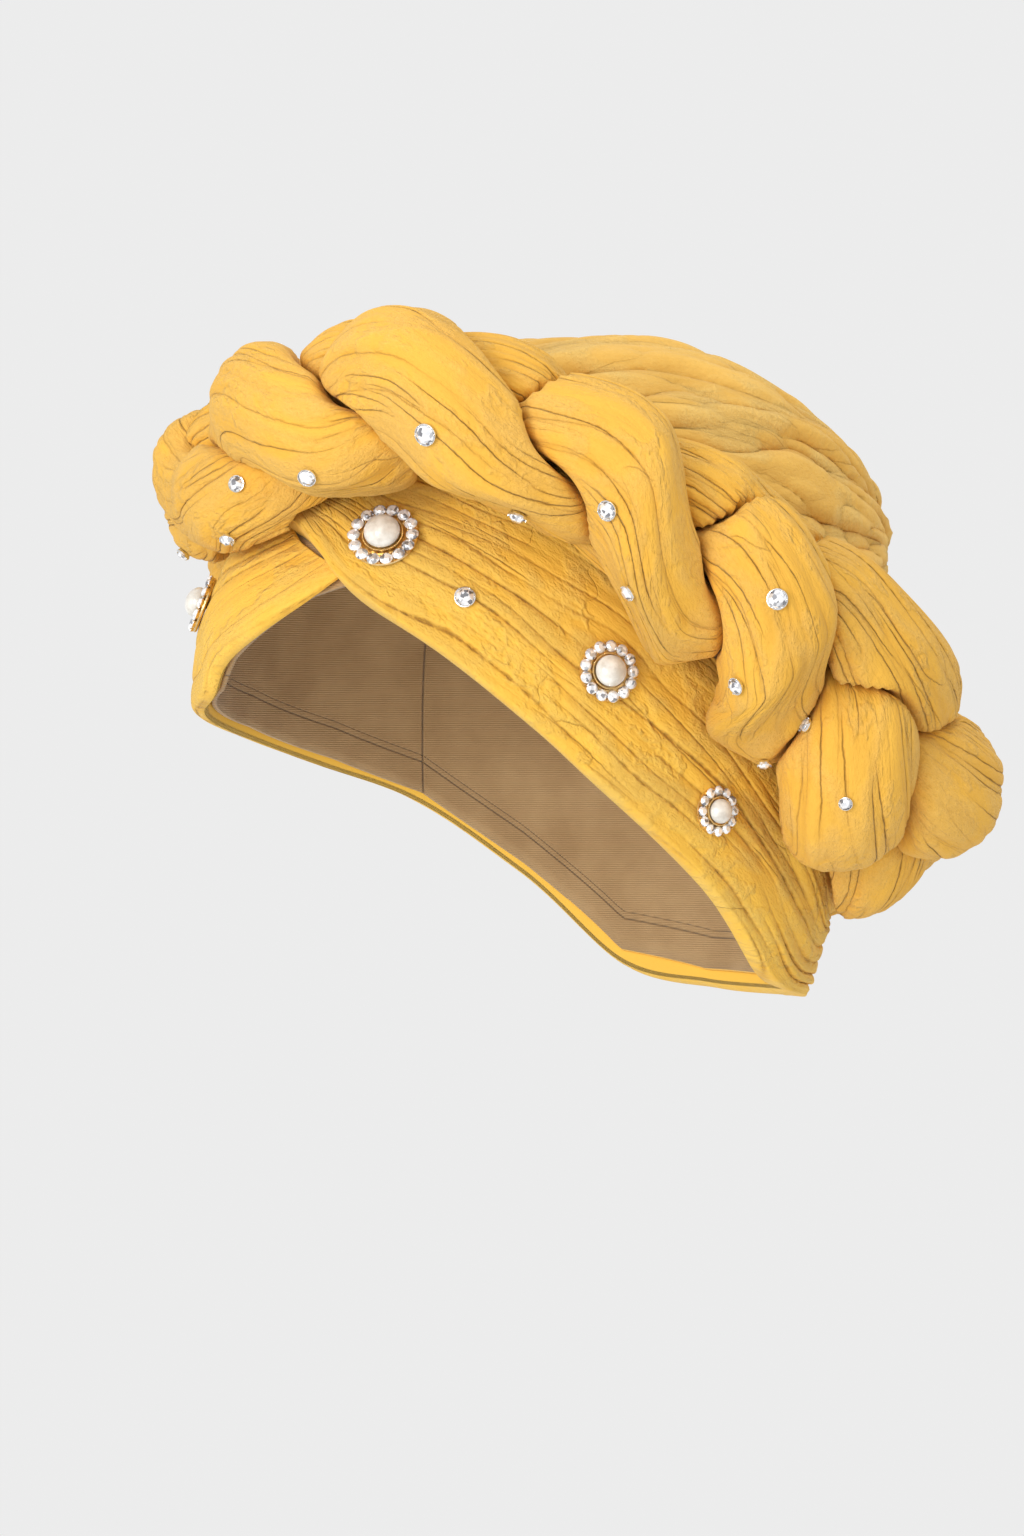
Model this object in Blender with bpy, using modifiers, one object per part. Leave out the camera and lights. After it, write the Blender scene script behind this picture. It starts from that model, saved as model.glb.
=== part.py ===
"""A pre-tied turban: a head wrap that is sewn into its shape and put on like a hat.

A thin inner cap carries two broad pleated bands, a puffed crown and a wreath plaited from three
thick strands. Small paste studs and four round brooches sit on the cloth.

The origin is the middle of the head opening. The face looks along -Y, the wearer's left is +X
and up is +Z. Tables are in millimetres and degrees, and the meshes are made in metres.
Turn is measured round the head: 0 is the front, 90 the wearer's left and 180 the nape.
"""
import math

import bpy
from mathutils import Matrix, Vector
from mathutils.bvhtree import BVHTree

MM = 0.001
CLOTH_GAP = 1.0
DRAPE_GAP = 1.9
SEAT_GAP = 0.3

# Head that the wrap is worn on
HEAD_TOP = 112.0
WIDEST_HEIGHT = 25.0
HEAD_HALF_WIDTH = 75.5
HEAD_FRONT = 96.0
HEAD_BACK = 98.0
HEAD_MIDDLE = Vector((0.0, 8.0, 40.0))
HEAD_STEP = 0.5
WRAP_BOTTOM = -60.0
UPPER_SIDE_POWER = 2.5
UPPER_ROUND_POWER = 2.7
LOWER_SIDE_REACH = 137.0
LOWER_BACK_REACH = 114.0
LOWER_SIDE_POWER = 2.0
LOWER_BACK_POWER = 3.0

# Inner cap
CAP_WALL = 1.5
CAP_TUCK = 3.0
CAP_COLUMNS = 24
CAP_ROWS = 7

# Pleated bands: each row is one crease across the band, from its lower to its upper edge
BAND_COLUMNS = ("lower_turn", "lower_height", "lower_lift",
                "upper_turn", "upper_height", "upper_lift", "thickness")
BAND_LEFT_ROWS = (
    (-5, 90, 6.0, -9, 95, 6.0, 3.0),
    (6, 89, 6.0, 4, 98, 5.0, 4.0),
    (20, 85, 6.0, 17, 101.5, 4.0, 5.0),
    (30, 78, 5.5, 30, 104, 2.0, 5.5),
    (38, 69, 4.0, 42, 104, 1.0, 5.5),
    (58, 50, 1.0, 70, 93, 1.0, 6.0),
    (75, 28, 1.0, 90, 75, 1.0, 6.0),
    (88, 9, 1.0, 108, 52, 1.0, 6.5),
    (109, -19, 1.0, 132, 17, 1.0, 7.5),
    (131, -46, 1.0, 160, -20, 1.0, 9.0),
    (155, -52, 1.0, 172, -22, 1.0, 10.0),
    (179.95, -53, 1.0, 179.95, -23, 1.0, 10.0),
)
BAND_RIGHT_ROWS = (
    (37, 74, 1.0, -4, 96, 1.0, 2.0),
    (28, 65, 1.0, -8, 95.5, 1.0, 4.0),
    (16.5, 56, 1.0, -13, 95, 1.0, 5.5),
    (3.6, 46.5, 1.0, -19, 94.5, 1.0, 6.0),
    (-3, 37, 1.0, -26, 93.5, 1.0, 6.0),
    (-18, 33, 1.0, -36, 91, 1.0, 6.0),
    (-45, 26, 1.0, -55, 86, 1.0, 6.0),
    (-70, 16, 1.0, -77, 74, 1.0, 6.0),
    (-90, 5, 1.0, -97, 58, 1.0, 6.5),
    (-110, -18, 1.0, -120, 30, 1.0, 7.5),
    (-131, -46, 1.0, -145, -5, 1.0, 9.0),
    (-155, -52, 1.0, -167, -20, 1.0, 10.0),
    (-179.95, -53, 1.0, -179.95, -23, 1.0, 10.0),
)
KNOT_TURN = 31.0
BAND_PLEATS = 7
PLEAT_DEPTH = 1.8
BAND_EDGE = 1.2
BAND_STATIONS = 23
BAND_INNER_POINTS = 5
BAND_INNER_EDGE = 0.02
ENVELOPE_COLUMNS = 48
ENVELOPE_ROWS = 24
ENVELOPE_STEPS = 2 * BAND_PLEATS
BAND_OVERHANG = 0.08
CROWN_OVERHANG = 7.0
ENVELOPE_LIFT = 3.5

# Puffed crown: an egg that lies front to back, gathered at its rear pole
CROWN_CENTRE = Vector((0.0, 27.0, 82.0))
CROWN_HALF_WIDTH = 68.0
CROWN_HALF_LENGTH = 97.0
CROWN_RISE = 69.0
CROWN_DROP = 74.0
CROWN_SHOULDER = 1.0
CROWN_WALL = 2.0
CROWN_FOLDS = 14
CROWN_FOLD_DEPTH = 2.4
CROWN_FOLD_END = 0.87
CROWN_FOLD_POWER = 0.6
CROWN_ROWS = 10
CROWN_RIM_FRONT = 116.0
CROWN_RIM_SLOPE = 0.5
CROWN_RIM_START = -66.0
CROWN_OVER_BAND = 9.5
CROWN_FRONT_END = 30.0
CROWN_FRONT_FADE = 40.0
CROWN_POLE = 179.0
CROWN_TIP = 5.0
CROWN_SEARCH_STEP = 0.25

# Plaited wreath: one row for each lobe on its outer side, in order round the head. The
# underside is how far below the middle the strands end, and sag is how much fuller they get there.
WREATH_COLUMNS = ("turn", "reach", "height", "roll", "inner_share", "girth", "underside",
                  "sag")
WREATH_ROWS = (
    (26, 84, 120, -12, 0.55, 1.0, 31, 0),
    (55, 91, 122, -12, 0.45, 1.06, 24.5, 0),
    (88, 94, 94, -22, 0.4, 1.06, 22, 0),
    (115, 111, 66, -80, 0.5, 1.04, 56, 0.25),
    (136, 119, 22, -138, 1.0, 1.0, 60, 0.3),
    (161, 108, 6, -150, 1.0, 1.0, 60, 0),
    (192, 108, 5, -150, 1.0, 1.0, 60, 0),
    (226, 107, 24, -130, 1.0, 1.0, 60, 0),
    (258, 91, 60, -75, 0.7, 1.0, 60, 0),
    (290, 84, 86, -40, 0.6, 1.0, 60, 0),
    (323, 71, 102, -45, 0.6, 0.9, 60, 0),
    (356, 71, 101, -35, 0.6, 0.88, 60, 0),
)
PLACE_STEP = 0.02
STRANDS = 3
STRAND_RADIUS = 22.0
STRAND_SWING = 16.0
STRAND_CROSSING = 10.0
STRAND_CREST = 70.0
STRAND_GAP = 5.0
STRAND_STATIONS = 156
HEART_CLEARANCE = 4.5
HEART_SPACING = 10.5
SEARCH_REACH = 60.0
LEAST_ROOM = 8.0
LEAST_FACING = 0.01
EASE_LOBES = 0.16
STRAND_SIDES = 16
STRAND_KEPT = 0.31
ROUND_CORNERS = 7.0

# Line of sight of the reference picture, which places the jewels
PICTURE_WIDTH = 1024
PICTURE_HEIGHT = 1536
PICTURE_FOCUS = 5760.0
VIEW_TURN = 67.0
VIEW_DISTANCE = 1800.0
VIEW_HEIGHT = 16.0

# Paste studs: picture place and diameter
STUD_COLUMNS = ("across", "down", "diameter")
STUD_ROWS = (
    (427, 434, 6.8),
    (308, 476, 5.7),
    (238, 484, 5.2),
    (228, 537, 4.9),
    (182, 552, 4.8),
    (519, 513, 6.1),
    (609, 510, 6.3),
    (631, 591, 5.6),
    (465, 598, 6.5),
    (777, 599, 6.4),
    (738, 685, 5.5),
    (809, 727, 5.2),
    (764, 761, 4.5),
    (846, 802, 4.3),
)
STUD_SIDES = 8
STUD_HEIGHT = 2.6
STUD_GIRDLE = 1.2
TABLE_SHARE = 0.52
CUP_SHARE = 0.85
PEARL_SIDES = 10
PLATE_SIDES = 16
PEARL_MIDDLE = 0.35
PEARL_RISE = 0.75
PEARL_FOOT = 0.8
PEARL_ANGLES = (30, 60, 95)
PLATE = 1.2
BACK_SHARE = 0.9
COLLAR_GAP = 0.5
COLLAR_WIDTH = 0.9
COLLAR_HEIGHT = 1.0
STONE_SHARE = 0.92
STONE_HEIGHT = 1.6
STONE_SINK = 0.4
SEAT_SAMPLES = 8
SEAT_SWEEPS = 3
SEAT_RINGS = (0.0, 0.35, 0.7, 1.0)
SEAT_REACH = 12.0

# Brooches: picture place, outer diameter, pearl diameter and number of stones round it
BROOCH_COLUMNS = ("across", "down", "diameter", "pearl", "stones")
BROOCH_ROWS = (
    (384, 538, 22.0, 11.0, 14),
    (607, 672, 19.0, 9.5, 13),
    (714, 811, 15.5, 7.5, 12),
    (200, 606, 19.0, 9.5, 13),
)

# Base colour, roughness and metallic value of each material
MATERIALS = {
    "turban_cloth": ((0.90, 0.52, 0.09, 1.0), 0.85, 0.0),
    "crown_cloth": ((0.84, 0.48, 0.08, 1.0), 0.88, 0.0),
    "cap_cloth": ((0.38, 0.22, 0.08, 1.0), 0.9, 0.0),
    "gold_metal": ((0.80, 0.55, 0.22, 1.0), 0.28, 1.0),
    "paste_stone": ((0.86, 0.87, 0.88, 1.0), 0.06, 0.0),
    "pearl_bead": ((0.88, 0.84, 0.76, 1.0), 0.22, 0.0),
}


def clear_scene():
    """Remove whatever the new file holds."""
    for thing in list(bpy.data.objects):
        bpy.data.objects.remove(thing, do_unlink=True)


def make_material(name):
    """Principled material with the colour, roughness and metal of the table."""
    colour, roughness, metallic = MATERIALS[name]
    material = bpy.data.materials.new(name)
    material.use_nodes = True
    shader = material.node_tree.nodes["Principled BSDF"]
    shader.inputs["Base Color"].default_value = colour
    shader.inputs["Roughness"].default_value = roughness
    shader.inputs["Metallic"].default_value = metallic
    material.diffuse_color = colour
    return material


def smooth_row(columns, rows, place):
    """Named values at a fractional place in a table, on a Catmull-Rom curve through its rows."""
    index = min(math.floor(place), len(rows) - 2)
    step = place - index
    picks = [max(0, min(len(rows) - 1, index + shift)) for shift in (-1, 0, 1, 2)]
    weights = (
        0.5 * (-step + 2 * step ** 2 - step ** 3),
        0.5 * (2 - 5 * step ** 2 + 3 * step ** 3),
        0.5 * (step + 4 * step ** 2 - 3 * step ** 3),
        0.5 * (-step ** 2 + step ** 3),
    )
    return {name: sum(weight * rows[pick][column] for weight, pick in zip(weights, picks))
            for column, name in enumerate(columns)}


def mesh_object(name, vertices, faces, material, collection, smooth=True):
    """Object with a mesh given in millimetres."""
    mesh = bpy.data.meshes.new(name)
    mesh.from_pydata([tuple(v * MM) for v in vertices], [], faces)
    mesh.validate()
    mesh.materials.append(material)
    if smooth:
        mesh.shade_smooth()
    thing = bpy.data.objects.new(name, mesh)
    collection.objects.link(thing)
    return thing


def ring_faces(rings, sides, closed):
    """Quads between successive rings of points, with flat ends where the loft is open."""
    faces = []
    spans = rings if closed else rings - 1
    for ring in range(spans):
        after = (ring + 1) % rings
        for side in range(sides):
            turn = (side + 1) % sides
            faces.append((ring * sides + side, ring * sides + turn,
                          after * sides + turn, after * sides + side))
    if not closed:
        faces.append(tuple(reversed(range(sides))))
        faces.append(tuple((rings - 1) * sides + side for side in range(sides)))
    return faces


def head_size(height):
    """Half width, front reach and back reach of the head at a height."""
    if height > WIDEST_HEIGHT:
        rise = min(0.9999, (height - WIDEST_HEIGHT) / (HEAD_TOP - WIDEST_HEIGHT))
        side = (1 - rise ** UPPER_SIDE_POWER) ** (1 / UPPER_SIDE_POWER)
        length = (1 - rise ** UPPER_ROUND_POWER) ** (1 / UPPER_ROUND_POWER)
        return HEAD_HALF_WIDTH * side, HEAD_FRONT * length, HEAD_BACK * length
    drop = WIDEST_HEIGHT - height
    side = (1 - (drop / LOWER_SIDE_REACH) ** LOWER_SIDE_POWER) ** (1 / LOWER_SIDE_POWER)
    back = (1 - (drop / LOWER_BACK_REACH) ** LOWER_BACK_POWER) ** (1 / LOWER_BACK_POWER)
    return HEAD_HALF_WIDTH * side, HEAD_FRONT * side, HEAD_BACK * back


def head_point(turn, height):
    """Point on the head at a turn and height."""
    half_width, front, back = head_size(height)
    angle = math.radians(turn)
    reach = front if math.cos(angle) > 0 else back
    return Vector((half_width * math.sin(angle), -reach * math.cos(angle), height))


def lifted_point(turn, height, lift):
    """Point that stands off the head by a lift, square to its surface."""
    along = head_point(turn + HEAD_STEP, height) - head_point(turn - HEAD_STEP, height)
    upward = head_point(turn, height + HEAD_STEP) - head_point(turn, height - HEAD_STEP)
    outward = along.cross(upward).normalized()
    return head_point(turn, height) + outward * lift


def clear_of_head(point, gap):
    """Move a point out sideways until it stands a gap off the head."""
    if point.z >= HEAD_TOP - 1:
        return point
    half_width, front, back = head_size(point.z)
    length = front if point.y < 0 else back
    reach = math.hypot(point.x / (half_width + gap), point.y / (length + gap))
    if reach >= 1:
        return point
    return Vector((point.x / reach, point.y / reach, point.z))


def lower_edge(turn):
    """Height of the wrap's lower edge at a turn, taken from both bands."""
    left = [row[:2] for row in BAND_LEFT_ROWS if row[0] > KNOT_TURN]
    right = [row[:2] for row in BAND_RIGHT_ROWS if row[0] < KNOT_TURN]
    points = sorted(left + right)
    if turn <= points[0][0]:
        return points[0][1]
    for before, after in zip(points, points[1:]):
        if turn <= after[0]:
            share = (turn - before[0]) / (after[0] - before[0])
            return before[1] + share * (after[1] - before[1])
    return points[-1][1]


def build_cap(material, collection):
    """Thin close-fitting cap inside the wrap, open below."""
    rings = []
    for row in range(CAP_ROWS):
        ring = []
        for column in range(CAP_COLUMNS):
            turn = -180 + 360 * column / CAP_COLUMNS
            rim = lower_edge(turn) + CAP_TUCK
            climb = math.sin(math.radians(90) * row / CAP_ROWS)
            ring.append(head_point(turn, rim + (HEAD_TOP - HEAD_STEP - rim) * climb))
        rings.append(ring)
    vertices = [point for ring in rings for point in ring]
    faces = ring_faces(CAP_ROWS, CAP_COLUMNS, False)[:-2]
    top = len(vertices)
    vertices.append(Vector((0, 0, HEAD_TOP)))
    last = (CAP_ROWS - 1) * CAP_COLUMNS
    for column in range(CAP_COLUMNS):
        faces.append((last + column, last + (column + 1) % CAP_COLUMNS, top))
    cap = mesh_object("inner_cap", vertices, faces, material, collection)
    add_wall(cap, CAP_WALL)
    return cap


def add_wall(thing, wall):
    """Give a sheet its thickness on the inner side."""
    solidify = thing.modifiers.new("wall", "SOLIDIFY")
    solidify.thickness = wall * MM
    solidify.offset = -1.0
    solidify.use_even_offset = False


def band_place(cut, share, lift):
    """Point of a band at a share of its width, from the lower edge 0 to the upper edge 1."""
    turn = cut["lower_turn"] + share * (cut["upper_turn"] - cut["lower_turn"])
    height = cut["lower_height"] + share * (cut["upper_height"] - cut["lower_height"])
    base = cut["lower_lift"] + share * (cut["upper_lift"] - cut["lower_lift"])
    return lifted_point(turn, height, base + lift)


def band_section(cut):
    """Closed outline across a band: pleated outside, smooth inside."""
    outline = []
    steps = 2 * BAND_PLEATS
    for step in range(steps + 1):
        lift = cut["thickness"] if step % 2 else cut["thickness"] - PLEAT_DEPTH
        if step in (0, steps):
            lift = BAND_EDGE
        outline.append(band_place(cut, step / steps, lift))
    for step in range(BAND_INNER_POINTS):
        span = 1 - 2 * BAND_INNER_EDGE
        share = 1 - BAND_INNER_EDGE - span * step / (BAND_INNER_POINTS - 1)
        outline.append(band_place(cut, share, 0.0))
    return outline


def build_band(name, rows, material, collection):
    """Broad pleated band round one side of the head."""
    sections = []
    for station in range(BAND_STATIONS):
        place = (len(rows) - 1) * station / (BAND_STATIONS - 1)
        sections.append(band_section(smooth_row(BAND_COLUMNS, rows, place)))
    sides = len(sections[0])
    vertices = [point for section in sections for point in section]
    faces = ring_faces(len(sections), sides, False)
    if name == "band_left":
        faces = [tuple(reversed(face)) for face in faces]
    return mesh_object(name, vertices, faces, material, collection)


def crown_point(around, along, lift):
    """Point of the crown: around its front to back axis, and along it to the rear pole at 180."""
    side = math.sin(math.radians(along)) * math.sin(math.radians(around))
    rise = math.sin(math.radians(along)) * math.cos(math.radians(around))
    height = CROWN_RISE if rise > 0 else CROWN_DROP
    offset = Vector((CROWN_HALF_WIDTH * side,
                     -CROWN_HALF_LENGTH * math.cos(math.radians(along)), height * rise))
    slope = Vector((offset.x / CROWN_HALF_WIDTH ** 2, offset.y / CROWN_HALF_LENGTH ** 2,
                    offset.z / height ** 2)).normalized()
    if along > 90 and rise > 0:
        lift -= CROWN_SHOULDER * math.sin(math.radians(2 * along)) ** 2 * rise
    point = CROWN_CENTRE + offset + slope * lift
    front = min(1.0, max(0.0, (CROWN_FRONT_END - point.y) / CROWN_FRONT_FADE))
    return clear_of_head(point, CROWN_WALL + DRAPE_GAP + lift + CROWN_OVER_BAND * front)


def crown_start(around):
    """Where a line of the crown leaves its rim, as the angle along the axis."""
    along = CROWN_POLE
    while along > CROWN_TIP:
        point = crown_point(around, along, 0)
        if point.z < CROWN_RIM_FRONT - CROWN_RIM_SLOPE * (point.y - CROWN_RIM_START):
            return along
        along -= CROWN_SEARCH_STEP
    return along


def crown_grid(columns, rows, lift_at, overhang=0.0):
    """Rings of the crown from its rim, or some degrees before it, to the rear pole."""
    vertices = []
    starts = [crown_start(360 * column / columns) - overhang for column in range(columns)]
    for row in range(rows):
        share = row / rows
        for column, start in enumerate(starts):
            along = start + (180 - start) * share
            vertices.append(crown_point(360 * column / columns, along, lift_at(column, share)))
    vertices.append(crown_point(0, 180, 0))
    faces = ring_faces(rows, columns, False)[:-2]
    last = (rows - 1) * columns
    for column in range(columns):
        faces.append((last + column, last + (column + 1) % columns, len(vertices) - 1))
    return vertices, faces


def build_crown(material, collection):
    """Puffed crown whose folds run from the rim to the gathered rear pole."""
    def fold(column, share):
        swell = max(0.0, math.sin(math.pi * min(1.0, share / CROWN_FOLD_END))) ** CROWN_FOLD_POWER
        return CROWN_FOLD_DEPTH * swell if column % 2 else 0.0
    vertices, faces = crown_grid(2 * CROWN_FOLDS, CROWN_ROWS, fold)
    faces = [tuple(reversed(face)) for face in faces]
    crown = mesh_object("crown", vertices, faces, material, collection)
    add_wall(crown, CROWN_WALL)
    return crown


def wrap_envelope():
    """Smooth surface just outside the cap, bands and crown, which the strands rest on."""
    vertices = []
    faces = []

    def add(points, quads):
        start = len(vertices)
        vertices.extend(points)
        faces.extend(tuple(start + index for index in quad) for quad in quads)

    grid = []
    for row in range(ENVELOPE_ROWS + 1):
        climb = math.sin(math.radians(90) * row / ENVELOPE_ROWS)
        height = WRAP_BOTTOM + (HEAD_TOP - HEAD_STEP - WRAP_BOTTOM) * climb
        for column in range(ENVELOPE_COLUMNS):
            grid.append(lifted_point(360 * column / ENVELOPE_COLUMNS, height, CLOTH_GAP))
    add(grid, ring_faces(ENVELOPE_ROWS + 1, ENVELOPE_COLUMNS, False)[:-2])
    for table in (BAND_LEFT_ROWS, BAND_RIGHT_ROWS):
        strips = []
        for row in range(ENVELOPE_ROWS + 1):
            cut = smooth_row(BAND_COLUMNS, table, (len(table) - 1) * row / ENVELOPE_ROWS)
            strips.append(band_place(cut, -BAND_OVERHANG, 0))
            for step in range(ENVELOPE_STEPS + 1):
                share = (1 + 2 * BAND_OVERHANG) * step / ENVELOPE_STEPS - BAND_OVERHANG
                lift = BAND_EDGE if step in (0, ENVELOPE_STEPS) else cut["thickness"]
                strips.append(band_place(cut, share, lift + ENVELOPE_LIFT))
            strips.append(band_place(cut, 1 + BAND_OVERHANG, 0))
        width = ENVELOPE_STEPS + 3
        add(strips, [(row * width + step, row * width + step + 1,
                      (row + 1) * width + step + 1, (row + 1) * width + step)
                     for row in range(ENVELOPE_ROWS) for step in range(width - 1)])

    def crown_lift(column, share):
        return CROWN_FOLD_DEPTH + ENVELOPE_LIFT if share > 0 else -CROWN_WALL
    add(*crown_grid(ENVELOPE_COLUMNS, ENVELOPE_ROWS, crown_lift, CROWN_OVERHANG))
    return BVHTree.FromPolygons(vertices, faces)


def wreath_sample(place):
    """Middle of the wreath at a place counted in lobes, with the table's values there."""
    first = WREATH_ROWS[0][0]
    rows = [(row[0] + (360 if row[0] < first else 0),) + row[1:] for row in WREATH_ROWS]
    before = [(rows[-1][0] - 360,) + rows[-1][1:]]
    after = [(row[0] + 360,) + row[1:] for row in rows[:2]]
    values = smooth_row(WREATH_COLUMNS, before + rows + after, place % len(rows) + 1)
    angle = math.radians(values["turn"])
    centre = Vector((values["reach"] * math.sin(angle), -values["reach"] * math.cos(angle),
                     values["height"]))
    return centre, values


def wreath_frame(place):
    """Middle of the wreath at a place, its two cross directions and the table's values there."""
    centre, values = wreath_sample(place)
    forward = wreath_sample(place + PLACE_STEP)[0] - wreath_sample(place - PLACE_STEP)[0]
    forward.normalize()
    outward = forward.cross(Vector((0, 0, 1))).normalized()
    upward = outward.cross(forward)
    roll = math.radians(values["roll"])
    across = math.cos(roll) * outward + math.sin(roll) * upward
    above = -math.sin(roll) * outward + math.cos(roll) * upward
    return centre, across, above, values


def strand_offset(strand, place, values):
    """Where a strand lies across the plait, and its radius there: fuller on the outer side."""
    phase = math.radians(STRAND_CREST + 360 / STRANDS * (place - strand))
    inner = values["inner_share"]
    share = inner + (1 - inner) * (1 + math.sin(phase)) / 2
    swing = STRAND_SWING * math.sin(phase) * share
    crossing = STRAND_CROSSING * math.sin(2 * phase) * share
    return swing, crossing, STRAND_RADIUS * values["girth"] * (1 + share) / 2


def soft_limit(limits):
    """Smallest of the limits, eased so that the outline turns in a round corner."""
    return sum(limit ** -ROUND_CORNERS for limit in limits) ** (-1 / ROUND_CORNERS)


def eased(values, reach):
    """Smooth run of values round the wreath that is nowhere below the values themselves."""
    count = len(values)
    spans = range(-reach, reach + 1)
    highest = [max(values[(k + span) % count] for span in spans) for k in range(count)]
    return [sum(highest[(k + span) % count] for span in spans) / len(spans) for k in range(count)]


def strand_hearts(stations, envelope):
    """Frames of the wreath, with the middles and radii of its strands clear of the wrap."""
    frames = []
    for station in range(stations):
        place = len(WREATH_ROWS) * station / stations
        centre, across, above, values = wreath_frame(place)
        hearts = []
        radii = []
        for strand in range(STRANDS):
            swing, crossing, radius = strand_offset(strand, place, values)
            hearts.append(centre + across * swing + above * crossing)
            radii.append(radius)
        outward = centre - HEAD_MIDDLE
        outward = (across * outward.dot(across) + above * outward.dot(above)).normalized()
        order = sorted(range(STRANDS), key=lambda strand: hearts[strand].dot(outward))
        below = -(across * across.z + above * above.z).normalized()
        floor = centre.dot(below) + values["underside"]
        frames.append((hearts, radii, across, above, outward, order, below, floor,
                       values["sag"]))
    reach = round(EASE_LOBES * stations / len(WREATH_ROWS))
    for lift_of in (wrap_lift, stack_lift):
        lifts = [[lift_of(frame, strand, envelope) for frame in frames] for strand in range(STRANDS)]
        for strand in range(STRANDS):
            for frame, lift in zip(frames, eased(lifts[strand], reach)):
                frame[0][strand] = frame[0][strand] + frame[4] * lift
    return frames


def wrap_lift(frame, strand, envelope):
    """How far the middle of a strand has to move out to be a clearance above the wrap."""
    heart = frame[0][strand]
    outward = frame[4]
    hit = envelope.ray_cast(heart + outward * SEARCH_REACH, -outward)[0]
    if hit is None:
        return 0.0
    return max(0.0, HEART_CLEARANCE - (heart - hit).dot(outward))


def stack_lift(frame, strand, envelope):
    """How far the middle of a strand has to move out to clear those of the strands below it."""
    hearts = frame[0]
    outward = frame[4]
    order = frame[5]
    lift = 0.0
    for lower in order[:order.index(strand)]:
        apart = hearts[strand] - hearts[lower]
        level = apart.dot(outward)
        aside = apart.length_squared - level ** 2
        lift = max(lift, math.sqrt(max(0.0, HEART_SPACING ** 2 - aside)) - level)
    return lift


def strand_section(frame, strand, envelope):
    """Outline of a strand, pressed against its two neighbours and the wrap below."""
    hearts, radii, across, above = frame[:4]
    below, floor, sag = frame[6:]
    heart = hearts[strand]
    room = max(LEAST_ROOM, floor - heart.dot(below))
    outline = []
    for side in range(STRAND_SIDES):
        angle = math.tau * side / STRAND_SIDES
        ray = across * math.cos(angle) + above * math.sin(angle)
        downward = max(LEAST_FACING, ray.dot(below))
        limits = [radii[strand] * (1 + sag * downward ** 2), room / downward]
        for other in hearts:
            apart = other - heart
            facing = ray.dot(apart)
            if facing > LEAST_FACING:
                limits.append(apart.length * (apart.length - STRAND_GAP) / 2 / facing)
        hit = envelope.ray_cast(heart, ray)
        if hit[0] is not None:
            limits.append(hit[3])
        outline.append(heart + ray * soft_limit(limits))
    return outline


def build_strand(strand, frames, envelope, material, collection):
    """One of the three strands, a closed loop round the head."""
    vertices = []
    for frame in frames:
        vertices.extend(strand_section(frame, strand, envelope))
    faces = [tuple(reversed(face)) for face in ring_faces(len(frames), STRAND_SIDES, True)]
    thing = mesh_object("braid_strand_%d" % (strand + 1), vertices, faces, material, collection)
    coarser = thing.modifiers.new("coarser", "DECIMATE")
    coarser.ratio = STRAND_KEPT
    return thing


def picture_ray(across, down):
    """Eye and line of sight through a place in the reference picture."""
    turn = math.radians(VIEW_TURN)
    back = Vector((math.sin(turn), -math.cos(turn), 0))
    right = Vector((math.cos(turn), math.sin(turn), 0))
    eye = back * VIEW_DISTANCE + Vector((0, 0, VIEW_HEIGHT))
    sight = (right * (across - PICTURE_WIDTH / 2) + Vector((0, 0, PICTURE_HEIGHT / 2 - down))
             - back * PICTURE_FOCUS)
    return eye, sight.normalized()


def cloth_tree(thing):
    """Search tree over the finished faces of a piece of cloth."""
    mesh = thing.evaluated_get(bpy.context.evaluated_depsgraph_get()).to_mesh()
    return BVHTree.FromPolygons([vertex.co / MM for vertex in mesh.vertices],
                                [tuple(face.vertices) for face in mesh.polygons])


def first_cloth(trees, across, down):
    """Tree of the cloth seen at a picture place, with the point and normal there."""
    eye, sight = picture_ray(across, down)
    hits = [(tree.ray_cast(eye, sight), tree) for tree in trees]
    hits = [(hit[3], hit[0], hit[1], tree) for hit, tree in hits if hit[0] is not None]
    if not hits:
        return first_cloth(trees, across + 1, down)
    return min(hits, key=lambda hit: hit[0])[1:]


def rim_points(centre, normal, radius, steps):
    """Points evenly round a circle that faces along a normal."""
    side = Vector((0, 0, 1)).cross(normal).normalized()
    rise = normal.cross(side)
    angles = [math.tau * step / steps for step in range(steps)]
    return [centre + (side * math.cos(angle) + rise * math.sin(angle)) * radius
            for angle in angles]


def seat(trees, jewel):
    """Frame of a jewel that lies on the cloth at its picture place: its back rests just off it."""
    centre, normal, tree = first_cloth(trees, jewel["across"], jewel["down"])
    radius = jewel["diameter"] / 2
    for sweep in range(SEAT_SWEEPS):
        rim = rim_points(centre + normal * SEAT_REACH, normal, radius, SEAT_SAMPLES)
        spots = [tree.ray_cast(point, -normal, 2 * SEAT_REACH)[0] for point in rim]
        spots = [spot for spot in spots if spot is not None]
        total = Vector()
        for first, second in zip(spots, spots[1:] + spots[:1]):
            total += (first - centre).cross(second - centre)
        if total.dot(normal) > 0:
            normal = total.normalized()
    lift = 0.0
    for share in SEAT_RINGS:
        for point in rim_points(centre + normal * SEAT_REACH, normal, radius * share,
                                2 * SEAT_SAMPLES):
            spot = tree.ray_cast(point, -normal, 2 * SEAT_REACH)[0]
            if spot is not None:
                lift = max(lift, (spot - centre).dot(normal))
    place = centre + normal * (lift + SEAT_GAP)
    side = Vector((0, 0, 1)).cross(normal).normalized()
    frame = Matrix((side, normal.cross(side), normal)).transposed().to_4x4()
    return Matrix.Translation(place * MM) @ frame


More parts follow.
